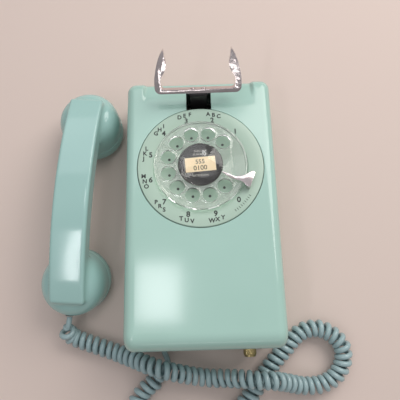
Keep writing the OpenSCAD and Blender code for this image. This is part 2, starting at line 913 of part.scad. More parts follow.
module hook_bracket() {
    cheek_half = 10;
    top_z = pivot_z + 8;
    flange_x = 24;
    sheet_t = 2;
    low_y = pivot_y - cheek_half;
    high_y = pivot_y + cheek_half;
    color(steel)
        difference() {
            union() {
                for (x = [cheek_x, -cheek_x - cheek_t])
                    side_profile([[low_y, plate_t], [high_y, plate_t], [pivot_y + cheek_half / 2, top_z],
                        [pivot_y - cheek_half / 2, top_z]], x, x + cheek_t);
                block([-flange_x, low_y, plate_t], [flange_x, high_y, plate_t + sheet_t]);
            }
            translate([0, pivot_y, pivot_z])
                bar_x(pin_r + seat_gap, -flange_x, flange_x);
        }
}

module hook_pivot_pin() {
    head_r = 3.2;
    head_t = 1.4;
    color(bright)
        translate([0, pivot_y, pivot_z]) {
            bar_x(pin_r, -cheek_x - cheek_t - past, cheek_x + cheek_t);
            bar_x(head_r, cheek_x + cheek_t, cheek_x + cheek_t + head_t);
        }
}

// Lever: a bar from the pivot to a pad under the cradle's bar, and a tail over the contacts
head_t = 2.4;
head_mid = bar_h / 2 + head_t / 2;
lever_head_y = hook_y - head_mid * cos(cradle_tilt);
lever_head_z = hook_z - head_mid * sin(cradle_tilt);

module hook_lever() {
    lever_angle = atan2(lever_head_y - pivot_y, lever_head_z - pivot_z);
    lever_l = norm([lever_head_y - pivot_y, lever_head_z - pivot_z]) - lever_t / 6;
    arm_step = 0.5;
    arm_half = lever_w / 2 - arm_step;
    tail_t = 3;
    tail_half = lever_w / 4;
    head_low = -bar_h / 2 - head_t;
    head_half = cradle_d / 2;
    color(black)
        difference() {
            union() {
                translate([0, pivot_y, pivot_z])
                    rotate([-lever_angle, 0, 0])
                        block([-arm_half, -lever_t / 2, 0], [arm_half, lever_t / 2, lever_l]);
                translate([0, pivot_y, pivot_z])
                    bar_x(lever_boss_r, -lever_w / 2, lever_w / 2);
                block([-tail_half, pivot_y - tail_l, pivot_z - tail_t / 2],
                    [tail_half, pivot_y, pivot_z + tail_t / 2]);
                at_hook()
                    block([-lever_w / 2, head_low, -head_half], [lever_w / 2, -bar_h / 2, head_half]);
            }
            translate([0, pivot_y, pivot_z])
                bar_x(pin_r + seat_gap, -lever_w, lever_w);
            at_hook()
                for (x = [-rivet_x, rivet_x])
                    translate([x, 0, 0])
                        bar_y(rivet_r + seat_gap, -bar_h / 2 - rivet_in - seat_gap, bar_h);
        }
}

// Cradle: a bar with two leaf-shaped arms, one plate in the leaning plane
module hook_cradle() {
    inner_r = cradle_corner_r - bar_h / 2;
    inner_x = arm_inside[0].x - inner_r;
    outer_corner = [for (a = [270:15:360])
        [cradle_half_w - cradle_corner_r + cradle_corner_r * cos(a),
         cradle_corner_r - bar_h / 2 + cradle_corner_r * sin(a)]];
    inner_corner = [for (a = [360:-15:270])
        [inner_x + inner_r * cos(a), bar_h / 2 + inner_r + inner_r * sin(a)]];
    half = concat(outer_corner, arm_outside, backward(arm_inside), inner_corner);
    color(bright)
        at_hook()
            difference() {
                translate([0, 0, -cradle_d / 2])
                    linear_extrude(cradle_d)
                        polygon(concat(half, backward(flipped(half))));
                for (x = [-rivet_x, rivet_x])
                    translate([x, 0, 0])
                        bar_y(rivet_r + seat_gap, -bar_h, bar_h);
            }
}

module hook_rivets() {
    head_r = 2;
    rivet_head_t = 0.6;
    color(bright)
        at_hook()
            for (x = [-rivet_x, rivet_x])
                translate([x, 0, 0]) {
                    bar_y(rivet_r, -bar_h / 2 - rivet_in, bar_h / 2 + rivet_head_t / 2);
                    bar_y(head_r, bar_h / 2, bar_h / 2 + rivet_head_t);
                }
}

module hook_spring() {
    wire_r = 0.4;
    turns = 3;
    low = lever_w / 2 + wire_r + free_gap;
    high = cheek_x - wire_r - free_gap;
    color(steel)
        translate([0, pivot_y, pivot_z])
            rotate([0, 90, 0])
                coil_wire(pin_r + wire_r + free_gap, wire_r, turns, low, high);
}

// Switch: an insulating stack on the base plate with contact leaves under the lever's tail
stack_space = 5;
stack_l = 11;
stack_y = pivot_y - tail_l - stack_space;

module switch_stack() {
    stack_half_w = 8;
    leaf_t = 0.5;
    leaf_w = 5.6;
    leaf_x = 1.4;
    leaf_pitch = 3.4;
    leaf_low = 8;
    leaf_step = 4;
    leaf_end = pivot_y - tail_l - 2;
    color(black)
        block([-stack_half_w, stack_y - stack_l, plate_t],
            [stack_half_w, stack_y, plate_t + leaf_low + 3 * leaf_pitch]);
    color(copper)
        for (k = [0:2], x = [leaf_x, -leaf_x - leaf_w])
            block([x, stack_y, leaf_low + k * leaf_pitch],
                [x + leaf_w, leaf_end + k * leaf_step, leaf_low + k * leaf_pitch + leaf_t]);
}

// Network: a potted block under the dial with a row of screw terminals along each long edge
network_half_w = 36;
network_h = 25;
network_space = 3.5;
network_low_y = wiring_high_y + network_space;
network_high_y = stack_y - stack_l - network_space;
network_l = network_high_y - network_low_y;
network_y = (network_low_y + network_high_y) / 2;

module network_block() {
    lid_t = 1.6;
    lid_over = 1;
    color(black)
        translate([0, network_y, plate_t]) {
            linear_extrude(network_h - lid_t)
                polygon(rounded_rect(2 * network_half_w, network_l, 4));
            translate([0, 0, network_h - lid_t])
                linear_extrude(lid_t)
                    polygon(rounded_rect(2 * (network_half_w + lid_over), network_l + 2 * lid_over, 5));
        }
}

module network_terminals() {
    head_r = 3;
    head_t = 2;
    washer_r = 3.8;
    washer_t = 0.6;
    washer_space = 1.2;
    row_x = network_half_w - washer_r - washer_space;
    rows = floor(network_l / (2 * washer_r + washer_space));
    pitch = network_l / rows;
    first_y = network_low_y + pitch / 2;
    color(brass)
        for (x = [-row_x, row_x], k = [0:rows - 1])
            translate([x, first_y + k * pitch, plate_t + network_h]) {
                cyl(washer_r, 0, washer_t);
                cyl(head_r, washer_t, washer_t + head_t);
            }
}

module ringer_frame() {
    half_x = gong_x + gong_r / 2;
    lug_half = 5;
    lug_y = ringer_low_y + past;
    lug_end = lug_y + 4;
    washer_room = 4;
    color(steel)
        difference() {
            union() {
                block([-half_x, ringer_low_y, plate_t], [half_x, ringer_high_y, ringer_z]);
                block([volume_x - lug_half, lug_y, plate_t],
                    [volume_x + lug_half, lug_end, volume_z + lug_half]);
            }
            translate([volume_x, 0, volume_z])
                bar_y(volume_shaft_r + run_gap, -half_h, lug_end + past);
            for (x = [-screw_dx / 2, screw_dx / 2])
                translate([x, -screw_dy / 2, 0])
                    cyl(screw_hole_r + washer_room, 0, ringer_z + past);
            block([-lug_w, -half_h, 0], [lug_w, ringer_low_y + lug_w / 2, ringer_z + past]);
        }
}

module ringer_bobbin() {
    cheek_l = 2;
    color(copper)
        translate([0, coil_y, clapper_z])
            difference() {
                union() {
                    bar_x(coil_r, -coil_l / 2, coil_l / 2);
                    for (side = [-1, 1])
                        translate([side * (coil_l - cheek_l) / 2, 0, 0])
                            bar_x(bobbin_r, -cheek_l / 2, cheek_l / 2);
                }
                bar_x(core_r + seat_gap, -coil_l, coil_l);
            }
}

// Core: a rod through the bobbin between two pole plates that stand on the ringer frame
pole_x = coil_l / 2 + 3;

module ringer_core() {
    pole_over = core_r + 3;
    color(steel) {
        translate([0, coil_y, clapper_z])
            bar_x(core_r, -pole_x, pole_x);
        for (x = [pole_x, -pole_x - pole_t])
            block([x, pole_low_y, ringer_z], [x + pole_t, coil_y + pole_over, clapper_z + pole_over]);
    }
}

module gong_places() {
    for (side = [-1, 1])
        translate([side * gong_x, gong_y, 0])
            children();
}

module gong_posts() {
    color(steel)
        difference() {
            gong_places()
                cyl(gong_post_r, ringer_z, gong_top_z);
            gong_places()
                cyl(gong_screw_r + seat_gap, gong_top_z - gong_screw_l - past, gong_top_z + past);
        }
}

// Bell: an elliptic dome with a flat crown that sits on its post
module gong(x) {
    crown_r = 8;
    rise = gong_top_z - gong_rim_z;
    function dome(r, h) = [for (a = [0:10:90]) [crown_r + (r - crown_r) * cos(a), gong_rim_z + h * sin(a)]];
    color(brass)
        translate([x, gong_y, 0])
            rotate_extrude($fn = fine)
                polygon(concat(dome(gong_r, rise + gong_t), [[gong_screw_r + seat_gap, gong_top_z + gong_t]],
                    [[gong_screw_r + seat_gap, gong_top_z]], backward(dome(gong_r - gong_t, rise))));
}

module gong_left() {
    gong(-gong_x);
}

module gong_right() {
    gong(gong_x);
}

module gong_screws() {
    screw_head_r = 4.4;
    screw_head_t = 2.2;
    low = gong_top_z + gong_t;
    color(steel)
        gong_places() {
            cyl(gong_screw_r, gong_top_z - gong_screw_l, low + past);
            cyl(screw_head_r, low, low + screw_head_t);
        }
}

// Clapper: hub on its pin, armature bar past both poles and an arm to the hammer ball
hub_r = 4;
hub_half = 4;

module clapper() {
    arm_r = 1;
    hammer_y = gong_y - 2 - clapper_y;
    armature_half = pole_x + pole_t;
    color(steel)
        translate([0, clapper_y, clapper_z])
            difference() {
                union() {
                    cyl(hub_r, -hub_half, hub_half);
                    bar_y(arm_r, hammer_y, 0);
                    translate([0, hammer_y, 0])
                        sphere(r = hammer_r, $fn = fine);
                    block([-armature_half, armature_near, -hub_half],
                        [armature_half, armature_far, hub_half]);
                }
                cyl(clapper_pin_r + run_gap, -2 * hub_half, 2 * hub_half);
            }
}

module clapper_pin() {
    seat_r = clapper_pin_r + 1.4;
    color(steel)
        translate([0, clapper_y, 0]) {
            cyl(clapper_pin_r, ringer_z, clapper_z + hub_half + 2);
            cyl(seat_r, ringer_z, clapper_z - hub_half - free_gap);
        }
}

// Knob: a knurled brass barrel with a plain shoulder at its outer end
knob_gap = 2;

module volume_knob() {
    ribs = 30;
    rib_depth = 0.35;
    shoulder_l = 1.6;
    outer = -half_h - knob_gap - knob_l;
    function knurl(a) = knob_r - (a % 2) * rib_depth;
    rim = [for (a = [0:2 * ribs - 1]) knurl(a) * [cos(a * 180 / ribs), sin(a * 180 / ribs)]];
    color(brass)
        translate([volume_x, 0, volume_z])
            difference() {
                union() {
                    translate([0, outer + shoulder_l, 0])
                        rotate([-90, 0, 0])
                            linear_extrude(knob_l - shoulder_l)
                                polygon(rim);
                    bar_y(knob_r - 2 * rib_depth, outer, outer + shoulder_l);
                }
                bar_y(volume_shaft_r + seat_gap, outer + 2 * shoulder_l, -half_h);
            }
}

module volume_shaft() {
    cam_r = 4;
    cam_low = -half_h + 11.3;
    cam_high = cam_low + 1.1;
    color(brass)
        translate([volume_x, 0, volume_z]) {
            bar_y(volume_shaft_r, -half_h - knob_l + knob_gap, cam_high);
            bar_y(cam_r, cam_low, cam_high);
        }
}

// Rubber sleeve through the bottom wall, with a flange that seats on its outside
module base_grommet() {
    sleeve_out = 5;
    flange_t = 1.4;
    color(black)
        translate([cord_hole_x, 0, cord_hole_z]) {
            bar_y(cord_hole_r, -half_h - sleeve_out, -half_h + wall + housing_gap);
            bar_y(cord_hole_r + 1.6, -half_h - flange_t, -half_h);
        }
}

// Cup of the handset: a dome whose foot is a collar inside the cap
module cup_solid(r) {
    dome_r = r - cap_bevel;
    foot = cap_h - cap_bevel;
    rise = cup_h - foot;
    dome = [for (a = [0:7.5:90])
        [dome_r * pow(cos(a), cup_fullness), foot + rise * pow(sin(a), cup_fullness)]];
    rotate_extrude($fn = 2 * fine)
        polygon(concat([[0, foot]], dome));
    cyl(r - cap_wall - free_gap, cap_face_t + free_gap, foot + past);
}

module cup_hollow(r) {
    cyl(r - cap_wall - free_gap - collar_t_handset, -past, cap_face_t + free_gap + unit_h + past);
}

// Handle: a rounded trapezoid swept along the arch of the back
module handle_solid() {
    back_edge = 3;
    inner_edge = 6;
    back_x = handle_arch_r - back_edge;
    inner_x = handle_arch_r - handle_t + inner_edge;
    back_y = handle_w / 2 - back_edge;
    inner_y = handle_w / 2 - inner_edge - past;
    outline = concat(
        [for (a = [0:15:75]) [back_x + back_edge * cos(a), back_y + back_edge * sin(a)]],
        [for (a = [90:15:165]) [inner_x + inner_edge * cos(a), inner_y + inner_edge * sin(a)]]);
    translate([0, 0, handle_h - handle_arch_r])
        rotate([0, -90, 0])
            rotate([0, 0, -handle_end])
                rotate_extrude(angle = 2 * handle_end, $fn = 4 * fine)
                    polygon(concat(outline, backward([for (q = outline) [q.x, -q.y]])));
}

module handset_shell() {
    color(aqua)
        at_handset()
            difference() {
                union() {
                    handle_solid();
                    at_receiver()
                        cup_solid(receiver_r);
                    at_transmitter()
                        cup_solid(transmitter_r);
                }
                at_receiver()
                    cup_hollow(receiver_r);
                at_transmitter()
                    cup_hollow(transmitter_r);
                translate([grommet_x, 0, grommet_z])
                    bar_y(grommet_r + seat_gap, transmitter_y - 2 * transmitter_r, transmitter_y);
            }
}

// Screw cap: rounded rim, sound holes in rings through the face
module cap(r, hole_r, rings) {
    edge_x = r - cap_edge_r;
    seat_z = cap_h - cap_bevel - free_gap / 2;
    rim = [for (a = [-60:30:0]) [edge_x + cap_edge_r * cos(a), cap_edge_r + cap_edge_r * sin(a)]];
    difference() {
        rotate_extrude($fn = 2 * fine)
            polygon(concat([[0, 0], [edge_x, 0]], rim, [[r, cap_h - 2 * cap_bevel], [r - cap_bevel, seat_z],
                [r - cap_wall, seat_z], [r - cap_wall, cap_face_t], [0, cap_face_t]]));
        for (ring = rings, k = [0:ring.y - 1])
            rotate([0, 0, k * 360 / ring.y])
                translate([ring.x, 0, 0])
                    cyl(hole_r, -past, cap_face_t + past);
    }
}

module receiver_cap() {
    color(aqua)
        at_handset()
            at_receiver()
                cap(receiver_r, 1.7, [[0, 1], [7.5, 6]]);
}

module transmitter_cap() {
    color(aqua)
        at_handset()
            at_transmitter()
                cap(transmitter_r, 1.5, [[0, 1], [6, 6], [12, 12], [18, 18]]);
}

// Capsule: a can with a stepped back, seated on the cap's face inside the collar
module capsule(r) {
    can_r = r - cap_wall - 2 * free_gap - collar_t_handset;
    step_h = 4;
    cyl(can_r, cap_face_t, cap_face_t + unit_h - step_h);
    cyl(can_r - 6, cap_face_t, cap_face_t + unit_h);
}

module receiver_unit() {
    color(steel)
        at_handset()
            at_receiver()
                capsule(receiver_r);
}

module transmitter_unit() {
    color(steel)
        at_handset()
            at_transmitter()
                capsule(transmitter_r);
}

module handset_grommet() {
    outside_y = transmitter_y - transmitter_r;
    grommet_in = 9;
    grommet_out = 0.5;
    color(black)
        at_handset()
            translate([grommet_x, 0, grommet_z])
                bar_y(grommet_r, outside_y - grommet_out, outside_y + grommet_in);
}

module cord_tail_handset() {
    color(cord_grey)
        tube(tail_handset_route, strand_d, 3, 8);
}

module cord_coil() {
    color(cord_grey)
        tube(coil_route, coil_d, 2, 10);
}

module cord_tail_base() {
    color(cord_grey)
        tube(tail_base_route, strand_d, 3, 8);
}

base_plate();
housing();
housing_screw();
dial_bracket();
bracket_screws();
dial_frame();
dial_rear_plate();
number_plate();
finger_stop();
finger_wheel();
number_card();
card_cover();
dial_shaft();
main_gear();
return_spring();
pulse_pinion();
pulse_cam();
worm_wheel();
governor_bracket();
governor_rotor();
pulse_contacts();
hook_bracket();
hook_pivot_pin();
hook_lever();
hook_cradle();
hook_rivets();
hook_spring();
switch_stack();
network_block();
network_terminals();
ringer_frame();
ringer_bobbin();
ringer_core();
gong_posts();
gong_left();
gong_right();
gong_screws();
clapper();
clapper_pin();
volume_knob();
volume_shaft();
base_grommet();
handset_shell();
receiver_cap();
transmitter_cap();
receiver_unit();
transmitter_unit();
handset_grommet();
cord_tail_handset();
cord_coil();
cord_tail_base();
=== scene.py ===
"""Rotary wall telephone lying on its back, with its handset off the hook and its curly cord."""

from __future__ import annotations

import json
import logging
import math
from dataclasses import dataclass
from enum import Enum
from typing import Callable, Sequence

import bpy
import numpy as np
from mathutils import Matrix, Vector

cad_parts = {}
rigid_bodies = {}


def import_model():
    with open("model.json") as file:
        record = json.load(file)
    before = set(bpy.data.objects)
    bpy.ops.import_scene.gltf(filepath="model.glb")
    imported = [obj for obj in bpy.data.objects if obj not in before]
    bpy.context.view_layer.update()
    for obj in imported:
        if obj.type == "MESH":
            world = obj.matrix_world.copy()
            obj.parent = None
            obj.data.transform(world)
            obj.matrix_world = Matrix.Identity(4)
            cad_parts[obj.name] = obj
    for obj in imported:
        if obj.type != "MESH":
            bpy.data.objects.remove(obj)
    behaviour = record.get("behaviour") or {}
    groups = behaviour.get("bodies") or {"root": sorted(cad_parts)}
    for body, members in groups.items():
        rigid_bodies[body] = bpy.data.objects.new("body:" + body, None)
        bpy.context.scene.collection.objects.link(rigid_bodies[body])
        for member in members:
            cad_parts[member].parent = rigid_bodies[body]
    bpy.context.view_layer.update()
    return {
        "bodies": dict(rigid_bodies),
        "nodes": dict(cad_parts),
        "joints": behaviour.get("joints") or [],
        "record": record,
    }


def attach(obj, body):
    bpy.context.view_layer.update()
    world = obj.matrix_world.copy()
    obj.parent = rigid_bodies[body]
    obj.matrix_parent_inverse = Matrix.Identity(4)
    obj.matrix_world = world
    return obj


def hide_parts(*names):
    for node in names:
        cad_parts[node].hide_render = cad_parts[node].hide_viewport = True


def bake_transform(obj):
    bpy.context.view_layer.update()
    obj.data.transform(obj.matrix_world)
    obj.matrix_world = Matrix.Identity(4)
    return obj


LOG = logging.getLogger("telephone")
MM = 0.001

Place = tuple[float, float, float]
Colour = tuple[float, float, float]
Distance = Callable[[np.ndarray], np.ndarray]


class Body(Enum):
    """Bodies that carry new pieces."""

    BASE = "base"
    DIAL = "dial"
    HOOK = "hook"
    VOLUME = "volume_control"
    HANDSET = "handset"


class Slot(Enum):
    """Material slots of the record, named beside new pieces but not given to them."""

    AQUA = "aqua_plastic"
    CLEAR = "clear_plastic"
    CARD = "black_card"
    CHROME = "chrome"
    ENAMEL = "black_metal"
    STEEL = "steel"
    BRASS = "brass"
    RUBBER = "black_rubber"
    JACKET = "cord_jacket"


def srgb(red: int, green: int, blue: int) -> Colour:
    """Turn a screen colour of 0 to 255 into the linear colour that a shader takes.

    Args:
        red: Red part.
        green: Green part.
        blue: Blue part.

    Returns:
        The linear colour.
    """

    def part(value: int) -> float:
        """Turn one part of the colour."""
        share = value / 255
        return share / 12.92 if share <= 0.04045 else ((share + 0.055) / 1.055) ** 2.4

    return part(red), part(green), part(blue)


# Shader effects that several finishes share


def fill(tree: bpy.types.NodeTree, node: bpy.types.Node, inputs: dict) -> None:
    """Set the inputs of a node, or link them to what feeds them.

    Args:
        tree: Tree of the node.
        node: The node.
        inputs: A value or an output for each input, by the input's name or number.
    """
    for label, value in inputs.items():
        if isinstance(value, bpy.types.NodeSocket):
            tree.links.new(value, node.inputs[label])
        else:
            node.inputs[label].default_value = value


def add_node(
    tree: bpy.types.NodeTree, kind: str, inputs: dict | None = None, **settings: object
) -> bpy.types.Node:
    """Add a shader node to a tree.

    Args:
        tree: Tree that gets the node.
        kind: Type of the node, without the words that all types share.
        inputs: A value or an output for each input, by the input's name or number.
        settings: Settings of the node.

    Returns:
        The node.
    """
    node = tree.nodes.new(f"ShaderNode{kind}")
    for label, value in settings.items():
        setattr(node, label, value)
    fill(tree, node, inputs or {})
    return node


def new_material(name: str) -> tuple[bpy.types.Material, bpy.types.NodeTree, bpy.types.Node]:
    """Start a material, and give it with its node tree and its shader.

    Args:
        name: Name of the material.

    Returns:
        The material, its node tree and its shader.
    """
    material = bpy.data.materials.new(name)
    material.use_nodes = True
    tree = material.node_tree
    return material, tree, tree.nodes["Principled BSDF"]


def new_group(name: str, inputs: dict[str, object], outputs: dict[str, str]) -> bpy.types.NodeTree:
    """Start a shader node group with named sockets.

    Args:
        name: Name of the group.
        inputs: Starting value of each input; a tuple makes a colour, a number makes a value.
        outputs: Socket type of each output.

    Returns:
        The group, with its input and output nodes in place.
    """
    group = bpy.data.node_groups.new(name, "ShaderNodeTree")
    for label, start in inputs.items():
        kind = "NodeSocketColor" if isinstance(start, tuple) else "NodeSocketFloat"
        socket = group.interface.new_socket(label, in_out="INPUT", socket_type=kind)
        socket.default_value = (*start, 1.0) if isinstance(start, tuple) else start
    for label, kind in outputs.items():
        group.interface.new_socket(label, in_out="OUTPUT", socket_type=kind)
    group.nodes.new("NodeGroupInput")
    group.nodes.new("NodeGroupOutput")
    return group


def object_noise(
    tree: bpy.types.NodeTree, scale: float | bpy.types.NodeSocket, detail: float
) -> bpy.types.NodeSocket:
    """Add a noise on object coordinates to a node tree.

    Args:
        tree: Tree that gets the noise.
        scale: Cells per metre, or the output that gives them.
        detail: Octaves of the noise.

    Returns:
        The output of the noise.
    """
    place = add_node(tree, "TexCoord").outputs["Object"]
    noise = add_node(tree, "TexNoise", {"Vector": place, "Scale": scale, "Detail": detail})
    return noise.outputs["Fac"]


def mix_colour(tree: bpy.types.NodeTree, share: object, under: object, over: object) -> bpy.types.NodeSocket:
    """Mix one colour over another by a share, and give the output."""
    inputs = {"Factor": share, "A": under, "B": over}
    return add_node(tree, "Mix", inputs, data_type="RGBA").outputs["Result"]


class Effects:
    """Node groups that are built once and placed in many materials."""

    mottle_limits: tuple[float, float] = (0.35, 0.7)
    speck_limits: tuple[float, float] = (0.66, 0.78)
    speck_scale: float = 900.0
    speck_colour: Colour = (0.12, 0.10, 0.08)

    def __init__(self) -> None:
        """Build every group."""
        self.tint = self._tint()
        self.smudge = self._smudge()
        self.grain = self._grain()

    @staticmethod
    def _patches(
        group: bpy.types.NodeTree,
        noise: bpy.types.NodeSocket,
        limits: tuple[float, float],
        amount: bpy.types.NodeSocket,
    ) -> bpy.types.NodeSocket:
        """Turn a noise into patches of a strength.

        Args:
            group: Group that gets the nodes.
            noise: Output of the noise.
            limits: Noise at which a patch starts and is full.
            amount: Strength of a full patch.

        Returns:
            The output with the strength.
        """
        soft = add_node(group, "MapRange", {"Value": noise, "From Min": limits[0], "From Max": limits[1]})
        inputs = {0: soft.outputs["Result"], 1: amount}
        return add_node(group, "Math", inputs, operation="MULTIPLY").outputs["Value"]

    def _tint(self) -> bpy.types.NodeTree:
        """Build the group that mottles a colour softly and adds specks of dirt.

        Returns:
            The group.
        """
        group = new_group(
            "soft_mottle",
            {"Colour": (0.5, 0.5, 0.5), "Shade": (0.4, 0.4, 0.4), "Scale": 20.0, "Amount": 0.3, "Dirt": 0.1},
            {"Colour": "NodeSocketColor"},
        )
        source = group.nodes["Group Input"].outputs
        noise = object_noise(group, source["Scale"], 4.0)
        mottle = self._patches(group, noise, self.mottle_limits, source["Amount"])
        colour = mix_colour(group, mottle, source["Colour"], source["Shade"])
        noise = object_noise(group, self.speck_scale, 3.0)
        specks = self._patches(group, noise, self.speck_limits, source["Dirt"])
        dirty = mix_colour(group, specks, colour, (*self.speck_colour, 1.0))
        fill(group, group.nodes["Group Output"], {"Colour": dirty})
        return group

    @staticmethod
    def _smudge() -> bpy.types.NodeTree:
        """Build the group that spreads a roughness into handled and wiped patches.

        Returns:
            The group.
        """
        group = new_group(
            "handled_gloss",
            {"Roughness": 0.3, "Spread": 0.1, "Scale": 30.0},
            {"Roughness": "NodeSocketFloat"},
        )
        source = group.nodes["Group Input"].outputs
        noise = object_noise(group, source["Scale"], 6.0)
        centred = add_node(group, "Math", {0: noise, 1: 0.5}, operation="SUBTRACT").outputs["Value"]
        inputs = {0: centred, 1: source["Spread"], 2: source["Roughness"]}
        spread = add_node(group, "Math", inputs, operation="MULTIPLY_ADD", use_clamp=True)
        fill(group, group.nodes["Group Output"], {"Roughness": spread.outputs["Value"]})
        return group

    @staticmethod
    def _grain() -> bpy.types.NodeTree:
        """Build the group that gives the height of fine grain over a soft ripple.

        Returns:
            The group.
        """
        group = new_group(
            "fine_grain",
            {"Grain Scale": 600.0, "Ripple Scale": 60.0, "Ripple": 0.5},
            {"Height": "NodeSocketFloat"},
        )
        source = group.nodes["Group Input"].outputs
        grain = object_noise(group, source["Grain Scale"], 3.0)
        ripple = object_noise(group, source["Ripple Scale"], 1.0)
        inputs = {0: ripple, 1: source["Ripple"], 2: grain}
        both = add_node(group, "Math", inputs, operation="MULTIPLY_ADD")
        fill(group, group.nodes["Group Output"], {"Height": both.outputs["Value"]})
        return group


# Finishes


@dataclass(frozen=True)
class Finish:
    """An opaque finish: mottled colour, handled gloss, fine grain and, where a well is given, painted shade
    inside it.
    """

    name: str
    colour: Colour
    shade: Colour
    roughness: float
    spread: float = 0.1
    metallic: float = 0.0
    specular: float = 0.5
    coat: float = 0.0
    mottle_scale: float = 25.0
    mottle: float = 0.35
    gloss_scale_share: float = 1.7
    dirt: float = 0.0
    grain_scale: float = 900.0
    ripple: float = 0.4
    bump: float = 0.02
    bump_height: float = 0.0004
    # Painted shade: a darker colour mixed over the surface inside a round well, for the shade under the finger
    # wheel
    well: Place | None = None
    well_radius: float = 0.0385
    well_edge: float = 0.0015
    well_shade_colour: Colour = (0.3, 0.3, 0.3)

    def _paint_well_shade(self, tree: bpy.types.NodeTree, surface: bpy.types.NodeSocket) -> bpy.types.NodeSocket:
        """Mix a painted shade colour over the surface inside a round well, standing for the shade under the
        finger wheel.

        Args:
            tree: Node tree of the material.
            surface: Colour of the surface.

        Returns:
            The mixed colour.
        """
        place = add_node(tree, "TexCoord").outputs["Object"]
        reach = add_node(tree, "VectorMath", {0: place, 1: self.well}, operation="DISTANCE").outputs["Value"]
        limits = {"From Min": self.well_radius, "From Max": self.well_radius - self.well_edge}
        inside = add_node(tree, "MapRange", {"Value": reach, **limits}).outputs["Result"]
        # painted shade inside the well
        return mix_colour(tree, inside, surface, (*self.well_shade_colour, 1.0))

    def material(self, effects: Effects) -> bpy.types.Material:
        """Build the material.

        Args:
            effects: Shared node groups.

        Returns:
            The material.
        """
        material, tree, shader = new_material(self.name)
        inputs = {
            "Colour": (*self.colour, 1.0),
            "Shade": (*self.shade, 1.0),
            "Scale": self.mottle_scale,
            "Amount": self.mottle,
            "Dirt": self.dirt,
        }
        surface = add_node(tree, "Group", inputs, node_tree=effects.tint).outputs["Colour"]
        # painted shade inside the dial's well, where one is given
        if self.well is not None:
            surface = self._paint_well_shade(tree, surface)
        scale = self.mottle_scale * self.gloss_scale_share
        inputs = {"Roughness": self.roughness, "Spread": self.spread, "Scale": scale}
        gloss = add_node(tree, "Group", inputs, node_tree=effects.smudge)
        inputs = {"Grain Scale": self.grain_scale, "Ripple": self.ripple}
        height = add_node(tree, "Group", inputs, node_tree=effects.grain).outputs["Height"]
        inputs = {"Strength": self.bump, "Distance": self.bump_height, "Height": height}
        bump = add_node(tree, "Bump", inputs)
        inputs = {
            "Base Color": surface,
            "Metallic": self.metallic,
            "Specular IOR Level": self.specular,
            "Coat Weight": self.coat,
            "Roughness": gloss.outputs["Roughness"],
            "Normal": bump.outputs["Normal"],
        }
        fill(tree, shader, inputs)
        return material


@dataclass(frozen=True)
class ClearFinish:
    """Clear acrylic that lets light through to what lies under it."""

    name: str
    colour: Colour
    roughness: float
    ior: float = 1.49
    clearness: float = 1.0
    smudge_scale: float = 120.0
    shadow: Colour = (0.62, 0.68, 0.65)

    def material(self, effects: Effects) -> bpy.types.Material:
        """Build the material.

        Args:
            effects: Shared node groups.

        Returns:
            The material.
        """
        material, tree, shader = new_material(self.name)
        inputs = {"Roughness": self.roughness, "Spread": self.roughness, "Scale": self.smudge_scale}
        gloss = add_node(tree, "Group", inputs, node_tree=effects.smudge)
        inputs = {
            "Base Color": (*self.colour, 1.0),
            "Transmission Weight": self.clearness,
            "IOR": self.ior,
            "Roughness": gloss.outputs["Roughness"],
        }
        fill(tree, shader, inputs)
        through = add_node(tree, "BsdfTransparent", {"Color": (*self.shadow, 1.0)})
        in_shadow = add_node(tree, "LightPath").outputs["Is Shadow Ray"]
        inputs = {"Fac": in_shadow, 1: shader.outputs["BSDF"], 2: through.outputs["BSDF"]}
        mix = add_node(tree, "MixShader", inputs)
        fill(tree, tree.nodes["Material Output"], {"Surface": mix.outputs["Shader"]})
        return material


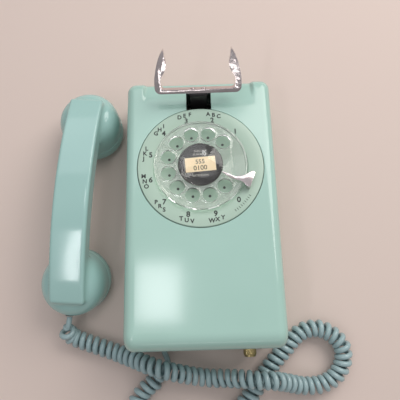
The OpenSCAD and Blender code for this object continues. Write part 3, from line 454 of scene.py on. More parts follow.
class Paints:
    """Every finish of the telephone as a ready material."""

    def __init__(self) -> None:
        """Build the shared effects and all materials."""
        effects = Effects()
        finishes = [
            Finish(
                "aqua_housing", srgb(165, 198, 188), srgb(154, 188, 177), 0.11, 0.1,
                mottle_scale=14, dirt=0.05,
            ),
            Finish(
                "aqua_handset", srgb(158, 193, 188), srgb(145, 182, 178), 0.1, 0.08,
                mottle_scale=18, dirt=0.05,
            ),
            # the number plate paints shade into its well under the finger wheel
            Finish(
                "aqua_number_plate", srgb(168, 191, 176), srgb(156, 180, 165), 0.3, 0.12,
                mottle_scale=30, well=(0.0, 0.0328, 0.064), well_shade_colour=srgb(140, 163, 147),
            ),
            Finish("printed_black", srgb(30, 34, 34), srgb(44, 48, 48), 0.55, 0.1),
            Finish("black_card", srgb(36, 30, 32), srgb(50, 44, 44), 0.5, 0.1, mottle_scale=60),
            Finish("printed_white", srgb(190, 186, 180), srgb(160, 156, 150), 0.6, 0.1, mottle_scale=200),
            Finish(
                "cream_paper", srgb(240, 220, 190), srgb(225, 198, 160), 0.75, 0.1,
                mottle_scale=90, bump=0.1,
            ),
            Finish(
                "bright_chrome", srgb(222, 212, 212), srgb(196, 184, 184), 0.12, 0.12, 1.0,
                mottle_scale=45, grain_scale=70.0, ripple=1.0, bump=0.16, bump_height=0.003,
            ),
            Finish("black_enamel", srgb(26, 25, 27), srgb(44, 40, 40), 0.32, 0.2, mottle_scale=70),
            Finish("zinc_steel", srgb(168, 168, 166), srgb(140, 140, 136), 0.36, 0.2, 1.0, mottle_scale=120),
            Finish("satin_brass", srgb(188, 170, 122), srgb(150, 130, 84), 0.3, 0.2, 1.0, mottle_scale=110),
            Finish("enamelled_copper", srgb(150, 82, 48), srgb(120, 60, 34), 0.3, 0.2, 0.6, mottle_scale=150),
            Finish("black_phenolic", srgb(38, 34, 32), srgb(58, 50, 44), 0.42, 0.15, mottle_scale=90),
            Finish("black_rubber", srgb(40, 42, 44), srgb(58, 60, 62), 0.62, 0.1, mottle_scale=90),
            Finish(
                "cord_vinyl", srgb(154, 176, 179), srgb(136, 161, 165), 0.18, 0.16,
                mottle_scale=40, dirt=0.1,
            ),
            ClearFinish("clear_acrylic", (0.94, 0.925, 0.915), 0.06, clearness=0.93),
            ClearFinish("clear_cover", (0.98, 0.98, 0.98), 0.05),
        ]  # fmt: skip
        self.by_name: dict[str, bpy.types.Material] = {f.name: f.material(effects) for f in finishes}

    def __getitem__(self, name: str) -> bpy.types.Material:
        """Give the material of a finish."""
        return self.by_name[name]


# Working on objects


def select_only(piece: bpy.types.Object) -> None:
    """Select one object alone and make it the active one.

    Args:
        piece: The object.
    """
    bpy.ops.object.select_all(action="DESELECT")
    piece.select_set(True)
    bpy.context.view_layer.objects.active = piece


def edit(piece: bpy.types.Object) -> None:
    """Open one object in edit mode with all of its mesh selected.

    Args:
        piece: The object.
    """
    select_only(piece)
    bpy.ops.object.mode_set(mode="EDIT")
    bpy.ops.mesh.select_all(action="SELECT")


def leave_edit() -> None:
    """Close edit mode."""
    bpy.ops.object.mode_set(mode="OBJECT")


def apply_modifier(piece: bpy.types.Object, kind: str, **settings: object) -> None:
    """Add a modifier and apply it.

    Args:
        piece: Object that is changed.
        kind: Modifier type.
        settings: Modifier settings.
    """
    select_only(piece)
    modifier = piece.modifiers.new(kind.lower(), kind)
    for label, value in settings.items():
        setattr(modifier, label, value)
    bpy.ops.object.modifier_apply(modifier=modifier.name)


def cut_away(piece: bpy.types.Object, cutter: bpy.types.Object) -> None:
    """Cut one object out of another and delete the cutter."""
    apply_modifier(piece, "BOOLEAN", object=cutter, operation="DIFFERENCE", solver="EXACT")
    bpy.data.objects.remove(cutter)


def smooth(piece: bpy.types.Object, degrees: float = 35.0) -> None:
    """Shade an object smooth, with sharp edges where faces turn more than an angle."""
    select_only(piece)
    bpy.ops.object.shade_smooth_by_angle(angle=math.radians(degrees))


def settle_place(piece: bpy.types.Object, matrix: Matrix) -> None:
    """Put the place of an object into its mesh, so that the object sits at the origin."""
    piece.data.transform(matrix)
    piece.matrix_world = Matrix.Identity(4)


def bar(name: str, radius: float, start: Vector, end: Vector, sides: int = 48) -> bpy.types.Object:
    """Add a round bar between two places.

    Args:
        name: Name of the object.
        radius: Radius in millimetres.
        start: One end in millimetres.
        end: Other end in millimetres.
        sides: Faces around the bar.

    Returns:
        The bar, with its place in its mesh.
    """
    along = end - start
    bpy.ops.object.select_all(action="DESELECT")
    bpy.ops.mesh.primitive_cylinder_add(vertices=sides, radius=radius * MM, depth=along.length * MM)
    piece = bpy.context.active_object
    piece.name = name
    turn = along.to_track_quat("Z", "Y").to_matrix().to_4x4()
    settle_place(piece, Matrix.Translation((start + end) / 2 * MM) @ turn)
    return piece


def box(name: str, low: Vector, high: Vector) -> bpy.types.Object:
    """Add a box between two corners.

    Args:
        name: Name of the object.
        low: Lowest corner in millimetres.
        high: Highest corner in millimetres.

    Returns:
        The box, with its place in its mesh.
    """
    bpy.ops.object.select_all(action="DESELECT")
    bpy.ops.mesh.primitive_cube_add(size=1.0)
    piece = bpy.context.active_object
    piece.name = name
    size = Matrix.Diagonal((*((high - low) * MM), 1.0))
    settle_place(piece, Matrix.Translation((low + high) / 2 * MM) @ size)
    return piece


def join(name: str, parts: Sequence[bpy.types.Object]) -> bpy.types.Object:
    """Join several objects into one.

    Args:
        name: Name of the result.
        parts: The objects.

    Returns:
        The joined object.
    """
    bpy.ops.object.select_all(action="DESELECT")
    for part in parts:
        part.select_set(True)
    bpy.context.view_layer.objects.active = parts[0]
    bpy.ops.object.join()
    piece = bpy.context.active_object
    piece.name = name
    return piece


def points_of(piece: bpy.types.Object) -> np.ndarray:
    """Give the vertices of an object in millimetres.

    Args:
        piece: The object.

    Returns:
        One row for each vertex.
    """
    flat = np.zeros(len(piece.data.vertices) * 3)
    piece.data.vertices.foreach_get("co", flat)
    return flat.reshape(-1, 3) / MM


def move_points(piece: bpy.types.Object, points: np.ndarray) -> None:
    """Set the vertices of an object from places in millimetres."""
    piece.data.vertices.foreach_set("co", (points * MM).reshape(-1))
    piece.data.update()


def settle_on(points: np.ndarray, distance: Distance, rounds: int = 12) -> np.ndarray:
    """Slide places along the slope of a distance until they lie on its surface.

    Args:
        points: Places in millimetres.
        distance: Signed distance of places from the surface.
        rounds: Number of steps.

    Returns:
        The places on the surface.
    """
    probe, least_slope, longest_step = 0.02, 0.05, 3
    for _ in range(rounds):
        here = distance(points)
        slope = np.zeros_like(points)
        for axis in range(3):
            shift = np.zeros(3)
            shift[axis] = probe
            slope[:, axis] = (distance(points + shift) - distance(points - shift)) / (2 * probe)
        length = np.maximum((slope**2).sum(axis=1), least_slope)
        points = points - slope * np.clip(here / length, -longest_step, longest_step)[:, None]
    return points


def soft_max(a: np.ndarray, b: np.ndarray, width: float) -> np.ndarray:
    """Join two distances where both hold, with a rounded edge."""
    near = np.maximum(width - np.abs(a - b), 0) / width
    return np.maximum(a, b) + near**2 * width / 4


def soft_min(a: np.ndarray, b: np.ndarray, width: float) -> np.ndarray:
    """Join two distances where either holds, with a filled corner."""
    return -soft_max(-a, -b, width)


def rounded(parts: Sequence[np.ndarray], radius: np.ndarray | float) -> np.ndarray:
    """Meet several half spaces in an edge of a radius.

    Args:
        parts: Distance from each half space.
        radius: Edge radius.

    Returns:
        The distance from the rounded form.
    """
    inner = np.stack([part + radius for part in parts])
    outside = np.sqrt((np.maximum(inner, 0) ** 2).sum(axis=0))
    return outside + np.minimum(inner.max(axis=0), 0) - radius


def hand_over(
    piece: bpy.types.Object, body: Body, material: bpy.types.Material, nodes: Sequence[str] = ()
) -> bpy.types.Object:
    """Give a finished piece its material, its body and the nodes that it stands for.

    Args:
        piece: Finished piece.
        body: Body that it moves with.
        material: Its material.
        nodes: Nodes that it replaces.

    Returns:
        The piece.
    """
    piece.data.materials.clear()
    piece.data.materials.append(material)
    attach(piece, body.value)
    if nodes:
        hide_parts(*nodes)
    LOG.info("%s rides on %s", piece.name, body.value)
    return piece


class Workshop:
    """The loaded frame, the materials and the work on single nodes."""

    def __init__(self, frame: dict, paints: Paints) -> None:
        """Keep the frame and the materials.

        Args:
            frame: The loaded frame.
            paints: The materials.
        """
        self.nodes: dict[str, bpy.types.Object] = frame["nodes"]
        self.paints = paints
        self.weld, self.flat_angle, self.edge_angle = 0.000005, 0.6, 38

    def softened(self, node: str, name: str, edge: float, segments: int = 2) -> bpy.types.Object:
        """Copy a node, merge its triangles and round its edges.

        Args:
            node: Node that is copied.
            name: Name of the copy.
            edge: Edge radius in millimetres.
            segments: Faces across an edge.

        Returns:
            The copy.
        """
        piece = bpy.data.objects.new(name, self.nodes[node].data.copy())
        bpy.context.scene.collection.objects.link(piece)
        edit(piece)
        bpy.ops.mesh.remove_doubles(threshold=self.weld)
        bpy.ops.mesh.customdata_custom_splitnormals_clear()
        bpy.ops.mesh.dissolve_limited(angle_limit=math.radians(self.flat_angle))
        leave_edit()
        if edge > 0:
            apply_modifier(
                piece,
                "BEVEL",
                width=edge * MM,
                segments=segments,
                limit_method="ANGLE",
                angle_limit=math.radians(self.edge_angle),
                use_clamp_overlap=True,
            )
        smooth(piece)
        return piece

    def reface(
        self, node: str, name: str, body: Body, slot: Slot, finish: str, edge: float, segments: int = 2
    ) -> None:
        """Put a softened copy of a node in its place.

        Args:
            node: Node that is replaced.
            name: Name of the copy.
            body: Body that it moves with.
            slot: Slot of the record; not used.
            finish: Name of the finish.
            edge: Edge radius in millimetres.
            segments: Faces across an edge.
        """
        piece = self.softened(node, name, edge, segments)
        hand_over(piece, body, self.paints[finish], [node])

    def dress(self, finish: str, *nodes: str) -> None:
        """Give carried-over nodes a finish.

        Args:
            finish: Name of the finish.
            nodes: Nodes that get it.
        """
        for node in nodes:
            mesh = self.nodes[node].data
            mesh.materials.clear()
            mesh.materials.append(self.paints[finish])
            LOG.info("%s is dressed in %s", node, finish)


# Studio


@dataclass(frozen=True)
class Lamp:
    """A soft panel lamp: its place, target and size in metres and its power in watts."""

    name: str
    place: Place
    target: Place
    size: tuple[float, float]
    power: float
    colour: Colour

    def hang(self) -> None:
        """Make the lamp."""
        data = bpy.data.lights.new(self.name, "AREA")
        data.shape = "RECTANGLE"
        data.size, data.size_y = self.size
        data.energy = self.power
        data.color = self.colour
        lamp = bpy.data.objects.new(self.name, data)
        aim = Vector(self.target) - Vector(self.place)
        turn = aim.to_track_quat("-Z", "Y").to_matrix().to_4x4()
        lamp.matrix_world = Matrix.Translation(self.place) @ turn
        bpy.context.scene.collection.objects.link(lamp)


@dataclass
class Studio:
    """Camera, floor and soft light."""

    camera_place: Place = (0.34, -65.06, 436.06)
    camera_right: Place = (0.9995, -0.0297, -0.0099)
    camera_up: Place = (0.031, 0.9827, 0.1826)
    lens: float = 41.78
    sensor: float = 36.0
    nearest: float = 0.01
    floor_half: float = 2.5
    floor_colour: Colour = srgb(210, 193, 185)
    floor_roughness: float = 0.8
    floor_specular: float = 0.2
    world_colour: Colour = srgb(238, 238, 240)
    world_low: float = 0.22
    world_high: float = 0.6
    lamps: tuple = (
        Lamp("key_panel", (0.66, 0.74, 0.92), (0, -0.02, 0.03), (0.9, 0.9), 12.4, (1, 0.97, 0.93)),
        Lamp("ceiling_panel", (-0.155, 0.195, 1.26), (-0.155, 0.3, 0), (0.15, 0.2), 0.9, (0.97, 0.98, 1)),
        Lamp("side_panel", (-0.46, -0.46, 1.08), (-0.441, -0.36, 0), (0.04, 0.6), 1.3, (0.97, 0.98, 1)),
        Lamp("fill_panel", (-0.3, 0.95, 1.1), (0, 0.02, 0.03), (0.8, 0.8), 2.6, (0.95, 0.97, 1)),
        Lamp("front_strip", (0.1, -1.3, 0.76), (0, 0.1, 0.08), (0.7, 0.08), 0.5, (1, 0.98, 0.97)),
    )

    def build(self) -> None:
        """Make the camera, the floor, the lamps and the world."""
        self._camera()
        self._floor()
        for lamp in self.lamps:
            lamp.hang()
        self._world()

    def _camera(self) -> None:
        """Make the camera at the place of the photograph's camera."""
        data = bpy.data.cameras.new("view")
        data.lens = self.lens
        data.sensor_width = self.sensor
        data.clip_start = self.nearest
        right = Vector(self.camera_right).normalized()
        back = right.cross(Vector(self.camera_up)).normalized()
        up = back.cross(right)
        turn = Matrix((right, up, back)).transposed().to_4x4()
        camera = bpy.data.objects.new("view", data)
        camera.matrix_world = Matrix.Translation(Vector(self.camera_place) * MM) @ turn
        bpy.context.scene.collection.objects.link(camera)
        bpy.context.scene.camera = camera

    def _floor(self) -> None:
        """Make the pale floor."""
        bpy.ops.object.select_all(action="DESELECT")
        bpy.ops.mesh.primitive_plane_add(size=2 * self.floor_half)
        floor = bpy.context.active_object
        floor.name = "floor"
        material, tree, shader = new_material("pale_floor")
        inputs = {
            "Base Color": (*self.floor_colour, 1.0),
            "Roughness": self.floor_roughness,
            "Specular IOR Level": self.floor_specular,
        }
        fill(tree, shader, inputs)
        floor.data.materials.append(material)

    def _world(self) -> None:
        """Make the light of a room with a bright ceiling and darker walls."""
        world = bpy.data.worlds.new("soft_room")
        world.use_nodes = True
        tree = world.node_tree
        place = add_node(tree, "TexCoord").outputs["Generated"]
        height = add_node(tree, "SeparateXYZ", {"Vector": place}).outputs["Z"]
        inputs = {"Value": height, "To Min": self.world_low, "To Max": self.world_high}
        strength = add_node(tree, "MapRange", inputs).outputs["Result"]
        inputs = {"Color": (*self.world_colour, 1.0), "Strength": strength}
        fill(tree, tree.nodes["Background"], inputs)
        bpy.context.scene.world = world
        bpy.context.scene.view_settings.view_transform = "Standard"


# Curly cord


@dataclass
class CurlyCord:
    """The coiled cord between the handset and the base, as one strand from end to end."""

    strand: float = 4.9
    coil_radius: float = 5.6
    pitch: float = 6.3
    points_per_turn: int = 16
    sides: int = 8
    ease_turns: float = 1.2
    coil_steps: int = 40
    tail_steps: int = 6
    smooth_angle: float = 60.0
    tail_handset: tuple = ((-117.2, -87.4, 24), (-117.4, -90, 24), (-118, -93, 23.5), (-119, -96, 22.2))
    coil: tuple = (
        (-119, -96, 22.2), (-121, -101, 15.2), (-117, -106, 9.4), (-108, -110, 8.4), (-94, -115, 8.4),
        (-77, -121, 9.4), (-61, -126, 16.4), (-48, -130, 23.4), (-38, -133, 25.7), (-28, -136, 23.4),
        (-14, -140, 17.5), (2, -143, 14), (18, -143, 17.5), (32, -143, 23.4), (44, -144, 25.7),
        (56, -145, 24.6), (68, -148, 17.5), (82, -152, 10.5), (98, -152, 8.4), (111, -146, 8.4),
        (119, -134, 9.4), (119, -120, 10.5), (111, -110, 9.4), (100, -105, 8.4), (88, -106, 8.4),
        (78, -112, 8.4), (69, -122, 8.4), (60, -131, 8.4), (52, -140, 8.4), (44, -151, 8.4),
        (35, -162, 8.4), (21, -175, 8.4), (0, -185, 8.4), (-24, -189, 8.4), (-47, -185, 8.4),
        (-60, -175, 8.4), (-62, -164, 8.4), (-57, -155, 8.4), (-49, -148, 8.4), (-38, -140, 8.4),
    )  # fmt: skip
    tail_base: tuple = ((-38, -140, 8.4), (-34, -134, 6), (-35, -127, 6), (-37, -121, 9), (-37, -118.2, 9))
    stretch_start: Place = (-44.1, -132.8, 22.5)
    stretch_end: Place = (-110.8, -84.3, 37.4)

    @staticmethod
    def smooth_route(points: Sequence, steps: int) -> np.ndarray:
        """Run a smooth curve through places.

        Args:
            points: Places in millimetres.
            steps: Steps from one place to the next.

        Returns:
            Places along the curve.
        """
        p = [np.array(q, float) for q in points]
        line = []
        for i in range(len(p) - 1):
            a, b, c, d = p[max(i - 1, 0)], p[i], p[i + 1], p[min(i + 2, len(p) - 1)]
            for k in range(steps):
                t = k / steps
                square, cube = 2 * a - 5 * b + 4 * c - d, 3 * b - a - 3 * c + d
                line.append(0.5 * (2 * b + (c - a) * t + square * t**2 + cube * t**3))
        return np.array(line + [p[-1]])

    def strand_line(self) -> np.ndarray:
        """Give the middle line of the strand: a tail, the helix and the other tail.

        Returns:
            Places in millimetres.
        """
        middle = self.smooth_route(self.coil, self.coil_steps)
        run = np.concatenate([[0], np.cumsum(np.linalg.norm(np.diff(middle, axis=0), axis=1))])
        turns = round(run[-1] / self.pitch)
        count = turns * self.points_per_turn
        at = np.linspace(0, run[-1], count + 1)
        centre = np.stack([np.interp(at, run, middle[:, k]) for k in range(3)], axis=1)
        along = np.gradient(centre, axis=0)
        along /= np.linalg.norm(along, axis=1)[:, None]
        across = np.cross([0, 0, 1], along)
        across /= np.linalg.norm(across, axis=1)[:, None]
        up = np.cross(along, across)
        angle = np.arange(count + 1) * 2 * math.pi / self.points_per_turn
        ramp = self.ease_turns * self.points_per_turn
        ends = np.minimum(np.arange(count + 1), np.arange(count, -1, -1)) / ramp
        ease = np.clip(ends, 0, 1)
        reach = self.coil_radius * ease * ease * (3 - 2 * ease)
        helix = centre + reach[:, None] * (across * np.cos(angle)[:, None] + up * np.sin(angle)[:, None])
        start = self.smooth_route(self.tail_handset, self.tail_steps)
        end = self.smooth_route(self.tail_base, self.tail_steps)
        return np.concatenate([start[:-1], helix, end[1:]])

    def tube(self, line: np.ndarray) -> bpy.types.Object:
        """Sweep a round tube along a line.

        Args:
            line: Middle line in millimetres.

        Returns:
            The tube.
        """
        along = np.gradient(line, axis=0)
        along /= np.linalg.norm(along, axis=1)[:, None]
        side = np.cross(along[0], [0, 0, 1])
        side /= np.linalg.norm(side)
        rings = []
        ring_angle = np.arange(self.sides) * 2 * math.pi / self.sides
        for place, direction in zip(line, along):
            side = side - direction * side.dot(direction)
            side /= np.linalg.norm(side)
            other = np.cross(direction, side)
            wave = np.cos(ring_angle)[:, None] * side + np.sin(ring_angle)[:, None] * other
            rings.append(place + self.strand / 2 * wave)
        n = self.sides
        faces = [
            (i * n + k, i * n + (k + 1) % n, (i + 1) * n + (k + 1) % n, (i + 1) * n + k)
            for i in range(len(line) - 1)
            for k in range(n)
        ]
        last = (len(line) - 1) * n
        faces += [tuple(range(n - 1, -1, -1)), tuple(range(last, last + n))]
        mesh = bpy.data.meshes.new("curly_cord")
        mesh.from_pydata((np.concatenate(rings) * MM).tolist(), [], faces)
        piece = bpy.data.objects.new("curly_cord", mesh)
        bpy.context.scene.collection.objects.link(piece)
        edit(piece)
        bpy.ops.mesh.normals_make_consistent(inside=False)
        leave_edit()
        smooth(piece, self.smooth_angle)
        return piece

    def build(self, shop: Workshop) -> None:
        """Make the cord and hide the nodes that it replaces.

        Args:
            shop: The workshop.
        """
        line = self.strand_line()
        piece = self.tube(line)
        piece.data.materials.append(shop.paints["cord_vinyl"])
        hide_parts("cord_tail_handset", "cord_coil", "cord_tail_base")
        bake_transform(piece)


# Housing


@dataclass
class Housing:
    """The moulded cover: a sloping box with rounded edges and a recess for the receiver."""

    half_width: float = 62.5
    half_height: float = 113.0
    front_z: float = 64.0
    dial_y: float = 32.8
    slope: float = 6.5
    wall: float = 2.6
    rim_z: float = 0.6
    top_radius: float = 9.0
    bottom_radius: float = 14.0
    side_radius: float = 8.0
    recess_edge_radius: float = 3.0
    recess_half: float = 47.0
    recess_wall: float = 4.0
    recess_length: float = 26.0
    recess_radius: float = 45.0
    dial_hole: float = 52.7
    slot_half: float = 10.7
    slot_top: float = 101.5
    bottom_holes: tuple = ((0.0, 10.0, 2.3), (38.0, 14.0, 4.0), (-37.0, 9.0, 4.55))
    cuts: int = 40
    rounds: int = 16
    touch: float = 0.01
    refine_from: float = 4.0
    smooth_angle: float = 40.0
    dial_sides: int = 160
    cut_below: float = 30.0
    cut_above: float = 40.0
    hole_outside: float = 5.0
    hole_inside: float = 9.0

    def front_at(self, y: np.ndarray | float) -> np.ndarray | float:
        """Give the height of the front face at a place up the housing."""
        return self.front_z - (y - self.dial_y) * math.tan(math.radians(self.slope))

    def recess(self, p: np.ndarray) -> tuple[np.ndarray, np.ndarray]:
        """Give the depth of the recess over places, and how far they lie between its side walls.

        Args:
            p: Places in millimetres.

        Returns:
            The depth, and a share from 0 outside to 1 inside.
        """
        x, y = np.abs(p[:, 0]), p[:, 1]
        run = np.clip(y - self.half_height + self.recess_length, 0, self.recess_radius - 1)
        share = np.clip((self.recess_half + self.recess_wall / 2 - x) / self.recess_wall, 0, 1)
        inside = share * share * (3 - 2 * share)
        return (self.recess_radius - np.sqrt(self.recess_radius**2 - run**2)) * inside, inside

    def distance(self, p: np.ndarray) -> np.ndarray:
        """Give the distance of places from the outside of the cover.

        Args:
            p: Places in millimetres.

        Returns:
            The distance, negative inside.
        """
        x, y, z = np.abs(p[:, 0]), p[:, 1], p[:, 2]
        cosine = math.cos(math.radians(self.slope))
        depth, inside = self.recess(p)
        above = (z - self.front_at(y) + depth) * cosine
        top_edge = self.top_radius + (self.recess_edge_radius - self.top_radius) * inside
        edge = np.where(y < 0, self.bottom_radius, top_edge)
        section = rounded([np.abs(y) - self.half_height, above], edge)
        return rounded([x - self.half_width, section], self.side_radius)

    def build(self, shop: Workshop) -> None:
        """Make the cover and dress it.

        Args:
            shop: The workshop.
        """
        piece = self._form()
        self._openings(piece)
        smooth(piece, self.smooth_angle)
        hand_over(piece, Body.BASE, shop.paints["aqua_housing"], ["housing"])

    def _form(self) -> bpy.types.Object:
        """Model the outside from a cube, open it at the back and give it a wall.

        Returns:
            The cover without its holes.
        """
        top = float(self.front_at(-self.half_height))
        piece = box(
            "housing_cover",
            Vector((-self.half_width, -self.half_height, self.rim_z)),
            Vector((self.half_width, self.half_height, top)),
        )
        points = points_of(piece)
        front = points[:, 2] > top / 2
        points[front, 2] = self.front_at(points[front, 1])
        move_points(piece, points)
        for axis, cuts in ((1, 3), (0, 1)):
            self._split(piece, axis, cuts)
        edit(piece)
        bpy.ops.mesh.subdivide(number_cuts=self.cuts)
        leave_edit()
        self._refine_recess_walls(piece)
        points = points_of(piece)
        rim = points[:, 2] < self.rim_z + self.touch
        points[:, 2] *= 1 - self.recess(points)[0] / self.front_at(points[:, 1])
        points = settle_on(points, self.distance, self.rounds)
        points[rim, 2] = self.rim_z
        move_points(piece, points)
        self._open_back(piece)
        outside = points_of(piece)
        apply_modifier(piece, "SOLIDIFY", thickness=self.wall * MM, offset=-1.0)
        inside = settle_on(outside, lambda p: self.distance(p) + self.wall, self.rounds)
        inside[outside[:, 2] < self.rim_z + self.touch, 2] = self.rim_z
        move_points(piece, np.concatenate([outside, inside]))
        return piece

    @staticmethod
    def _split(piece: bpy.types.Object, axis: int, cuts: int) -> None:
        """Divide the edges of a box that run along one axis.

        Args:
            piece: The box.
            axis: 0 for X, 1 for Y, 2 for Z.
            cuts: Number of cuts.
        """
        edit(piece)
        bpy.ops.mesh.select_mode(type="EDGE")
        bpy.ops.mesh.select_all(action="DESELECT")
        leave_edit()
        mesh = piece.data
        for line in mesh.edges:
            a, b = (mesh.vertices[v].co for v in line.vertices)
            run = [abs(value) for value in (b - a)]
            line.select = run[axis] == max(run)
        bpy.ops.object.mode_set(mode="EDIT")
        bpy.ops.mesh.subdivide(number_cuts=cuts)
        leave_edit()

    def _select_faces(self, piece: bpy.types.Object, chosen: Callable[[Vector, Vector], bool]) -> None:
        """Select the faces whose middle and normal pass a test, and stay in edit mode.

        Args:
            piece: The object.
            chosen: Test of a face's middle in millimetres and its normal.
        """
        edit(piece)
        bpy.ops.mesh.select_mode(type="FACE")
        bpy.ops.mesh.select_all(action="DESELECT")
        leave_edit()
        for face in piece.data.polygons:
            face.select = chosen(face.center / MM, face.normal)
        bpy.ops.object.mode_set(mode="EDIT")

    def _refine_recess_walls(self, piece: bpy.types.Object) -> None:
        """Divide the front faces more finely where the recess steps down.

        Args:
            piece: The form.
        """
        start = self.half_height - self.recess_length
        self._select_faces(
            piece,
            lambda middle, normal: normal.z > 0.5
            and middle.y > start + self.refine_from
            and abs(abs(middle.x) - self.recess_half) < self.recess_wall,
        )
        bpy.ops.mesh.subdivide(number_cuts=2)
        bpy.ops.mesh.select_all(action="DESELECT")
        bpy.ops.mesh.select_face_by_sides(number=4, type="GREATER")
        bpy.ops.mesh.quads_convert_to_tris()
        leave_edit()

    def _open_back(self, piece: bpy.types.Object) -> None:
        """Delete the back of the form.

        Args:
            piece: The form.
        """
        rim = self.rim_z + self.touch
        self._select_faces(piece, lambda middle, normal: normal.z < -0.9 and middle.z < rim)
        bpy.ops.mesh.delete(type="FACE")
        leave_edit()

    def _openings(self, piece: bpy.types.Object) -> None:
        """Cut the dial hole, the hook slot and the holes of the bottom wall.

        Args:
            piece: The cover.
        """
        turn = Matrix.Rotation(math.radians(-self.slope), 3, "X")
        centre = Vector((0, self.dial_y, self.front_z))
        reach = turn @ Vector((0, 0, self.cut_below))
        dial = bar("dial_cutter", self.dial_hole, centre - reach, centre + reach, self.dial_sides)
        cut_away(piece, dial)
        slot = box(
            "slot_cutter",
            Vector((-self.slot_half, self.dial_y, self.front_z - self.cut_below)),
            Vector((self.slot_half, self.slot_top, self.front_z + self.cut_above)),
        )
        cut_away(piece, slot)
        for x, z, radius in self.bottom_holes:
            start = Vector((x, -self.half_height - self.hole_outside, z))
            end = Vector((x, -self.half_height + self.hole_inside, z))
            cut_away(piece, bar("hole_cutter", radius, start, end))


# Dial


